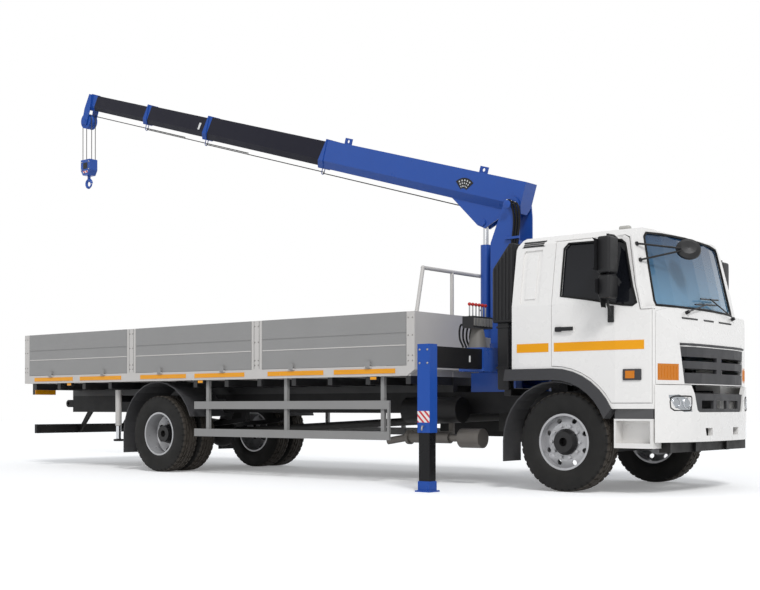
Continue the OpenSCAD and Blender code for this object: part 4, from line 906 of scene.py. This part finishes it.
class TRUCK_OT_rigging(bpy.types.Operator):
    """Lay the hoist rope and its guides, and dress the hook block"""
    bl_idname = "truck.rigging"
    bl_label = "Rig the Crane"

    def guide(self, body, t, drop, under):
        """A staple under a collar, deep enough for the ropes of the sections that run in."""
        half, wire = 0.024, 0.006
        low = on_boom(t, 0, drop - 0.015 + half)
        loop = [on_boom(t, -half, under)] + list(circle(low, ACROSS, BOOM_UP, half, 180, 360, 8))
        loop.append(on_boom(t, half, under))
        fit(tube("rope_guide_" + body, loop, wire), body, "crane")

    def execute(self, context):
        r = context.scene.truck_sizes.rope_d / 2
        # Section, ends of its rope along the boom, and the rope's level
        runs = (("boom_base", 0.78, 3.17, -0.138), ("boom_2", 3.15, 5.56, -0.121),
                ("boom_3", 4.66, 6.95, -0.104), ("boom_4", 6.05, 8.24, -0.088))
        for body, a, b, drop in runs:
            fit(tube("rope_" + body, [on_boom(a, 0, drop), on_boom(b, 0, drop)], r), body,
                "rope")
        # Section, place of its guide, the rope's level and the collar's underside
        for place in (("boom_base", 3.175, -0.138, -0.078), ("boom_2", 5.565, -0.121, -0.056),
                      ("boom_3", 6.960, -0.104, -0.034)):
            self.guide(*place)
        low = HANG.z - 0.64
        window = joined("block_windows", [slab("window", (HANG.x - 0.055, y - 0.001, low - 0.130),
                                               (HANG.x + 0.055, y + 0.001, low - 0.030), 0.0008, 1)
                                          for y in (-0.0755, 0.0755)])
        fit(window, "hook", "black")
        tape = slab("block_tape", (HANG.x - 0.06, -0.077, low - 0.196), (HANG.x + 0.06, -0.0752, low - 0.160),
                    0.0006, 1)
        fit(tape, "hook", "tape")
        ring = Vector((HANG.x, 0, low - 0.36))
        latch = tube("hook_latch", circle(ring, (1, 0, 0), (0, 0, 1), 0.062, -94, 4, 10), 0.014)
        fit(latch, "hook", "crane")
        bolts = [bolt((HANG.x + dx, -0.075, low + dz), (0, -1, 0), 0.012, 0.008)
                 for dx in (-0.09, 0.09) for dz in (-0.02, -0.14)]
        fit(joined("block_bolts", bolts), "hook", "steel")
        return {"FINISHED"}


class TRUCK_OT_crane_trim(bpy.types.Operator):
    """Run the hoses of the column and the levers, and fix plates, bolts and tape on the crane"""
    bl_idname = "truck.crane_trim"
    bl_label = "Trim the Crane"

    def execute(self, context):
        r = context.scene.truck_sizes.hose_d / 2
        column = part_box("column")
        cheek = -0.150
        skin = cheek - r - 0.002
        hoses, ends = [], []
        for i in range(3):
            x = PIVOT.x + 0.020 + 0.036 * i
            top = Vector((PIVOT.x - 0.03 + 0.045 * i, cheek - r - 0.018, PIVOT.z + 0.055 - 0.02 * i))
            line = bent([top, top + Vector((0.06, -0.01, -0.03)), Vector((x + 0.035, skin, PIVOT.z - 0.20)),
                         Vector((x - 0.01, skin, PIVOT.z - 0.60)), Vector((x - 0.03, skin, 2.05)),
                         Vector((x - 0.06, skin, 1.86))])
            hoses.append(tube("hose", line, r))
            ends.append(tube("fitting", [line[0], line[2]], r * 1.35))
        fit(joined("column_hoses", hoses), "column", "rubber")
        fit(joined("hose_fittings", ends), "column", "chrome")
        clamps = [slab("clamp", (PIVOT.x - 0.06, skin - r - 0.004, z),
                       (PIVOT.x + 0.13, cheek - 0.0005, z + 0.03), 0.004) for z in (2.35, 2.85)]
        fit(joined("hose_clamps", clamps), "column", "crane")
        caps = [bolt((PIVOT.x, column[0].y if s < 0 else column[1].y, PIVOT.z), (0, s, 0), 0.052, 0.012)
                for s in (-1, 1)]
        fit(joined("pivot_caps", caps), "column", "crane")
        caps = [bolt((column[0].x + dx, s * 0.15, z), (0, s, 0), 0.013, 0.009)
                for s in (-1, 1) for dx in (0.06, 0.34) for z in (1.80, 1.92, 2.04)]
        fit(joined("column_bolts", caps), "column", "steel")
        # Dial of the boom's angle, without figures, on both sides of the base section
        centre, inner, outer = (0.74, 0.015), 0.060, 0.185
        web, face, tick = 0.1203, 0.1235, 0.018
        dials, ticks = [], []
        for s in (-1, 1):
            def spot(turn, far, y=web):
                a = math.radians(turn)
                return on_boom(centre[0] + far * math.cos(a), s * y, centre[1] + far * math.sin(a))
            turns = [40 + 15 * i for i in range(7)]
            edge = [spot(a, outer) for a in turns] + [spot(a, inner) for a in reversed(turns)]
            dials.append(plate("dial", edge, (0, s * 0.003, 0)))
            for a in turns[1:-1]:
                for near in (0.075, 0.110, 0.145):
                    mark = [spot(a + da, far, face) for da, far in ((-3, near), (3, near), (3, near + tick),
                                                                    (-3, near + tick))]
                    ticks.append(plate("tick", mark, (0, s * 0.0012, 0)))
        fit(joined("angle_dials", dials), "boom_base", "black")
        fit(joined("dial_ticks", ticks), "boom_base", "white")
        corners = ((5.66, 0.165), (5.70, 0.165), (5.725, 0.065), (5.685, 0.065))
        label = [on_boom(t, -0.0843, n) for t, n in corners]
        fit(plate("boom_plate", label, (0, -0.001, 0)), "boom_3", "white")
        self.banks(r)
        self.outriggers()
        return {"FINISHED"}

    def banks(self, r):
        """Hose loops behind each bank of levers."""
        for side, s in SIDES:
            y = s * (BANK[1].y - 0.19)
            x = (BANK[0].x + BANK[1].x) / 2
            z = BANK[0].z
            loops = []
            for i in range(5):
                dy = -0.15 + 0.075 * i
                loops.append(tube("loop", bent([Vector((x - 0.06, y + dy, z + 0.27)),
                                                Vector((x - 0.13, y + dy, z + 0.25)),
                                                Vector((x - 0.15, y + dy * 0.9, z + 0.12)),
                                                Vector((x - 0.11, y + dy * 0.8, z + 0.012))]), r * 0.8))
            fit(joined("lever_hoses_" + side, loops), "truck", "rubber")
            valves = [slab("valve", (x - 0.083, y + (i - 2.5) * 0.063 - 0.026, z + 0.245),
                           (x + 0.083, y + (i - 2.5) * 0.063 + 0.026, z + 0.335), 0.006) for i in range(6)]
            fit(joined("valve_blocks_" + side, valves), "truck", "steel")

    def outriggers(self):
        """Tape, bolts, a lock pin and a blank plate on each outrigger beam."""
        for side, s in SIDES:
            low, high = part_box("beam_" + side)
            face = low.y if s < 0 else high.y
            a, b = sorted((face + s * 0.0004, face + s * 0.0018))
            centre = (low.x + high.x) / 2
            tape = slab("sleeve_tape_" + side, (centre - 0.078, a, 0.722), (centre + 0.078, b, 0.842),
                        0.0005, 1)
            fit(tape, "beam_" + side, "tape")
            bolts = [bolt((centre + dx, face, z), (0, s, 0), 0.012, 0.008)
                     for dx in (-0.05, 0.05) for z in (1.34, 1.48)]
            pin = ((0.002, 0.68), (-0.004, 0.68), (0.030, 0.68), (0.034, 0.645))
            bolts.append(tube("lock_pin", [(centre, face + s * out, z) for out, z in pin], 0.009))
            fit(joined("sleeve_bolts_" + side, bolts), "beam_" + side, "steel")
            inner, outer = sorted((s * 1.30, s * 1.30 + s * 0.03))
            front = high.x - 0.015
            label = slab("beam_plate_" + side, (front + 0.0001, inner, 1.37), (front + 0.0004, outer, 1.44),
                         0.0001, 1)
            fit(label, "beam_" + side, "white")


class TRUCK_OT_bed_trim(bpy.types.Operator):
    """Add ribs, bolts, seams, jack sleeves and marker lamps to the platform"""
    bl_idname = "truck.bed_trim"
    bl_label = "Trim the Platform"

    def execute(self, context):
        low, high = BOARD
        ends, thin, rib_in, rib_out = 0.004, 0.0075, 1.2605, 1.2655
        z = high.z - 0.63 * (high.z - low.z - 0.03)
        spans = []
        for side, s in SIDES:
            for i in (1, 2, 3):
                body = "side_%s_%d" % (side, i)
                a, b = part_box(body)
                y0, y1 = sorted((s * rib_in, s * rib_out))
                # The rib's lighter rail paint is a painted highlight along the boards.
                rib = slab("board_rib_%s_%d" % (side, i), (a.x + ends, y0, z - thin),
                           (b.x - ends, y1, z + thin), 0.0015, 1)
                fit(rib, body, "rails")
                if s < 0:
                    spans.append((a.x, b.x))
        spans.sort()
        self.posts(spans, high.z)
        self.jacks()
        self.markers()
        return {"FINISHED"}

    def posts(self, spans, top):
        """Bolts on the posts between the boards, and seams along the middle ones."""
        gap = 0.005
        edges = [(DECK[0].x, spans[0][0] - gap)]
        edges += [(a[1] + gap, b[0] - gap) for a, b in zip(spans, spans[1:])]
        edges.append((spans[-1][1] + gap, DECK[1].x))
        for side, s in SIDES:
            face = s * 1.265
            bolts, seams = [], []
            for i, (a, b) in enumerate(edges):
                mid = (a + b) / 2
                half = min(0.03, (b - a) / 2 - 0.02)
                for z in (1.41, 1.47, 1.70, 1.90):
                    bolts += [bolt((mid + dx, face, z), (0, s, 0), 0.010, 0.005) for dx in (-half, half)]
                if 0 < i < len(edges) - 1:
                    y0, y1 = sorted((face + s * 0.0004, face + s * 0.0012))
                    seams += [slab("seam", (mid + dx - 0.0025, y0, 1.365),
                                   (mid + dx + 0.0025, y1, top - 0.005), 0.0003, 1) for dx in (-0.045, 0.045)]
            fit(joined("post_bolts_" + side, bolts), "truck", "steel")
            fit(joined("post_seams_" + side, seams), "truck", "rubber")

    def jacks(self):
        """Light sleeves and rods on the folded rear jacks."""
        x, y = REAR_AXLE.x - 1.0, -1.08
        base = Vector((x, y, 0))
        sleeve = turned("sleeve", base, [(0.0335, 0.62), (0.0335, 1.128), (0.044, 1.128), (0.044, 0.63),
                                         (0.040, 0.62), (0.0335, 0.62)], 24, (0, 0, 1))
        fit_pair(smooth(sleeve), "truck", "rails")
        rod = turned("jack_rod", base, [(0.0325, 0.432), (0.0325, 0.618), (0.036, 0.616), (0.036, 0.436),
                                        (0.0325, 0.432)], 24, (0, 0, 1))
        fit_pair(smooth(rod), "truck", "chrome")

    def markers(self):
        """Marker lamps under the platform's edge."""
        cases, lenses = [], []
        for x in (-5.394, -2.457, -8.2):
            cases.append(slab("case", at(x - 0.055, -1.262, 1.196), at(x + 0.055, -1.215, 1.2395), 0.006, 3))
            lenses.append(slab("lens", at(x - 0.045, -1.268, 1.202), at(x + 0.045, -1.2625, 1.234), 0.002, 2))
        fit_pair(joined("marker_cases", cases), "truck", "black")
        fit_pair(joined("marker_lenses", lenses), "truck", "amber")


class TRUCK_OT_stage(bpy.types.Operator):
    """Set the floor, the light and the camera"""
    bl_idname = "truck.stage"
    bl_label = "Set the Stage"

    def seen_rays(self, nt):
        """Camera, mirrored and refracted rays together."""
        rays = nt.nodes.new("ShaderNodeLightPath")
        total = rays.outputs["Is Camera Ray"]
        for kind in ("Is Glossy Ray", "Is Transmission Ray"):
            total = maths(nt, "MAXIMUM", total, rays.outputs[kind])
        return total

    def floor(self):
        glow = 0.20
        clear()
        bpy.ops.mesh.primitive_grid_add(x_subdivisions=4, y_subdivisions=4, size=120,
                                        location=(0, 0, -0.0005))
        floor = fresh("floor")
        mat, nt, bsdf = new_finish("studio_floor")
        nt.links.new(mix(nt, noise(nt, 0.6), (0.93, 0.93, 0.93), (0.95, 0.95, 0.95)),
                     bsdf.inputs["Base Color"])
        bsdf.inputs["Roughness"].default_value = 0.9
        bsdf.inputs["Specular IOR Level"].default_value = 0.0
        bsdf.inputs["Emission Color"].default_value = (1, 1, 1, 1)
        nt.links.new(maths(nt, "MULTIPLY", self.seen_rays(nt), glow), bsdf.inputs["Emission Strength"])
        floor.data.materials.append(mat)

    def backdrop(self, scene):
        """A soft bluish light all round, and white where it is seen."""
        scene.world = bpy.data.worlds.new("studio")
        scene.world.use_nodes = True
        nt = scene.world.node_tree
        nt.nodes.clear()
        out = nt.nodes.new("ShaderNodeOutputWorld")
        mixer = nt.nodes.new("ShaderNodeMixShader")
        nt.links.new(self.seen_rays(nt), mixer.inputs[0])
        for i, (colour, strength) in enumerate((((0.93, 0.96, 1.0, 1), 0.55), ((1, 1, 1, 1), 1.0))):
            light = nt.nodes.new("ShaderNodeBackground")
            light.inputs[0].default_value = colour
            light.inputs[1].default_value = strength
            nt.links.new(light.outputs[0], mixer.inputs[i + 1])
        nt.links.new(mixer.outputs[0], out.inputs[0])

    def lights(self, context):
        bpy.ops.object.light_add(type="SUN", rotation=(math.radians(46), 0, math.radians(48)))
        sun = context.object
        sun.name = "key_light"
        sun.data.energy = 1.6
        sun.data.angle = math.radians(14)
        bpy.ops.object.light_add(type="AREA", location=(9, -12, 8),
                                 rotation=(math.radians(60), 0, math.radians(40)))
        soft = context.object
        soft.name = "fill_light"
        soft.data.energy = 200
        soft.data.size = 7

    def execute(self, context):
        scene = context.scene
        scene.view_settings.view_transform = "Standard"
        self.floor()
        self.backdrop(scene)
        self.lights(context)
        # The photograph's viewpoint
        bpy.ops.object.camera_add(location=at(6.298, -11.989, 0.875),
                                  rotation=(math.pi / 2 + 0.006, 0, 0.679))
        cam = context.object
        cam.data.sensor_width = 36
        cam.data.lens = 56.51
        cam.data.shift_y = 0.139
        cam.data.clip_end = 400
        scene.camera = cam
        return {"FINISHED"}


class TRUCK_PT_panel(bpy.types.Panel):
    """Lists the steps in the sidebar"""
    bl_idname = "TRUCK_PT_panel"
    bl_label = "Crane Truck"
    bl_space_type = "VIEW_3D"
    bl_region_type = "UI"
    bl_category = "Truck"

    def draw(self, context):
        for op in STEPS:
            self.layout.operator(op.bl_idname)
        for group in (context.scene.truck_sizes, context.scene.truck_colours):
            for key in group.__annotations__:
                self.layout.prop(group, key)


STEPS = (TRUCK_OT_stage, TRUCK_OT_paint, TRUCK_OT_tyres, TRUCK_OT_mirrors, TRUCK_OT_cab_trim,
         TRUCK_OT_nose, TRUCK_OT_snorkel, TRUCK_OT_rigging, TRUCK_OT_crane_trim, TRUCK_OT_bed_trim)
CLASSES = (TruckSizes, TruckColours) + STEPS + (TRUCK_PT_panel,)


def register():
    for c in CLASSES:
        bpy.utils.register_class(c)
    bpy.types.Scene.truck_sizes = PointerProperty(type=TruckSizes)
    bpy.types.Scene.truck_colours = PointerProperty(type=TruckColours)


def unregister():
    del bpy.types.Scene.truck_colours
    del bpy.types.Scene.truck_sizes
    for c in reversed(CLASSES):
        bpy.utils.unregister_class(c)


def main():
    register()
    bpy.ops.truck.stage()
    bpy.ops.truck.paint()
    bpy.ops.truck.tyres()
    bpy.ops.truck.mirrors()
    bpy.ops.truck.cab_trim()
    bpy.ops.truck.nose()
    bpy.ops.truck.snorkel()
    bpy.ops.truck.rigging()
    bpy.ops.truck.crane_trim()
    bpy.ops.truck.bed_trim()


if __name__ == "__main__":
    main()
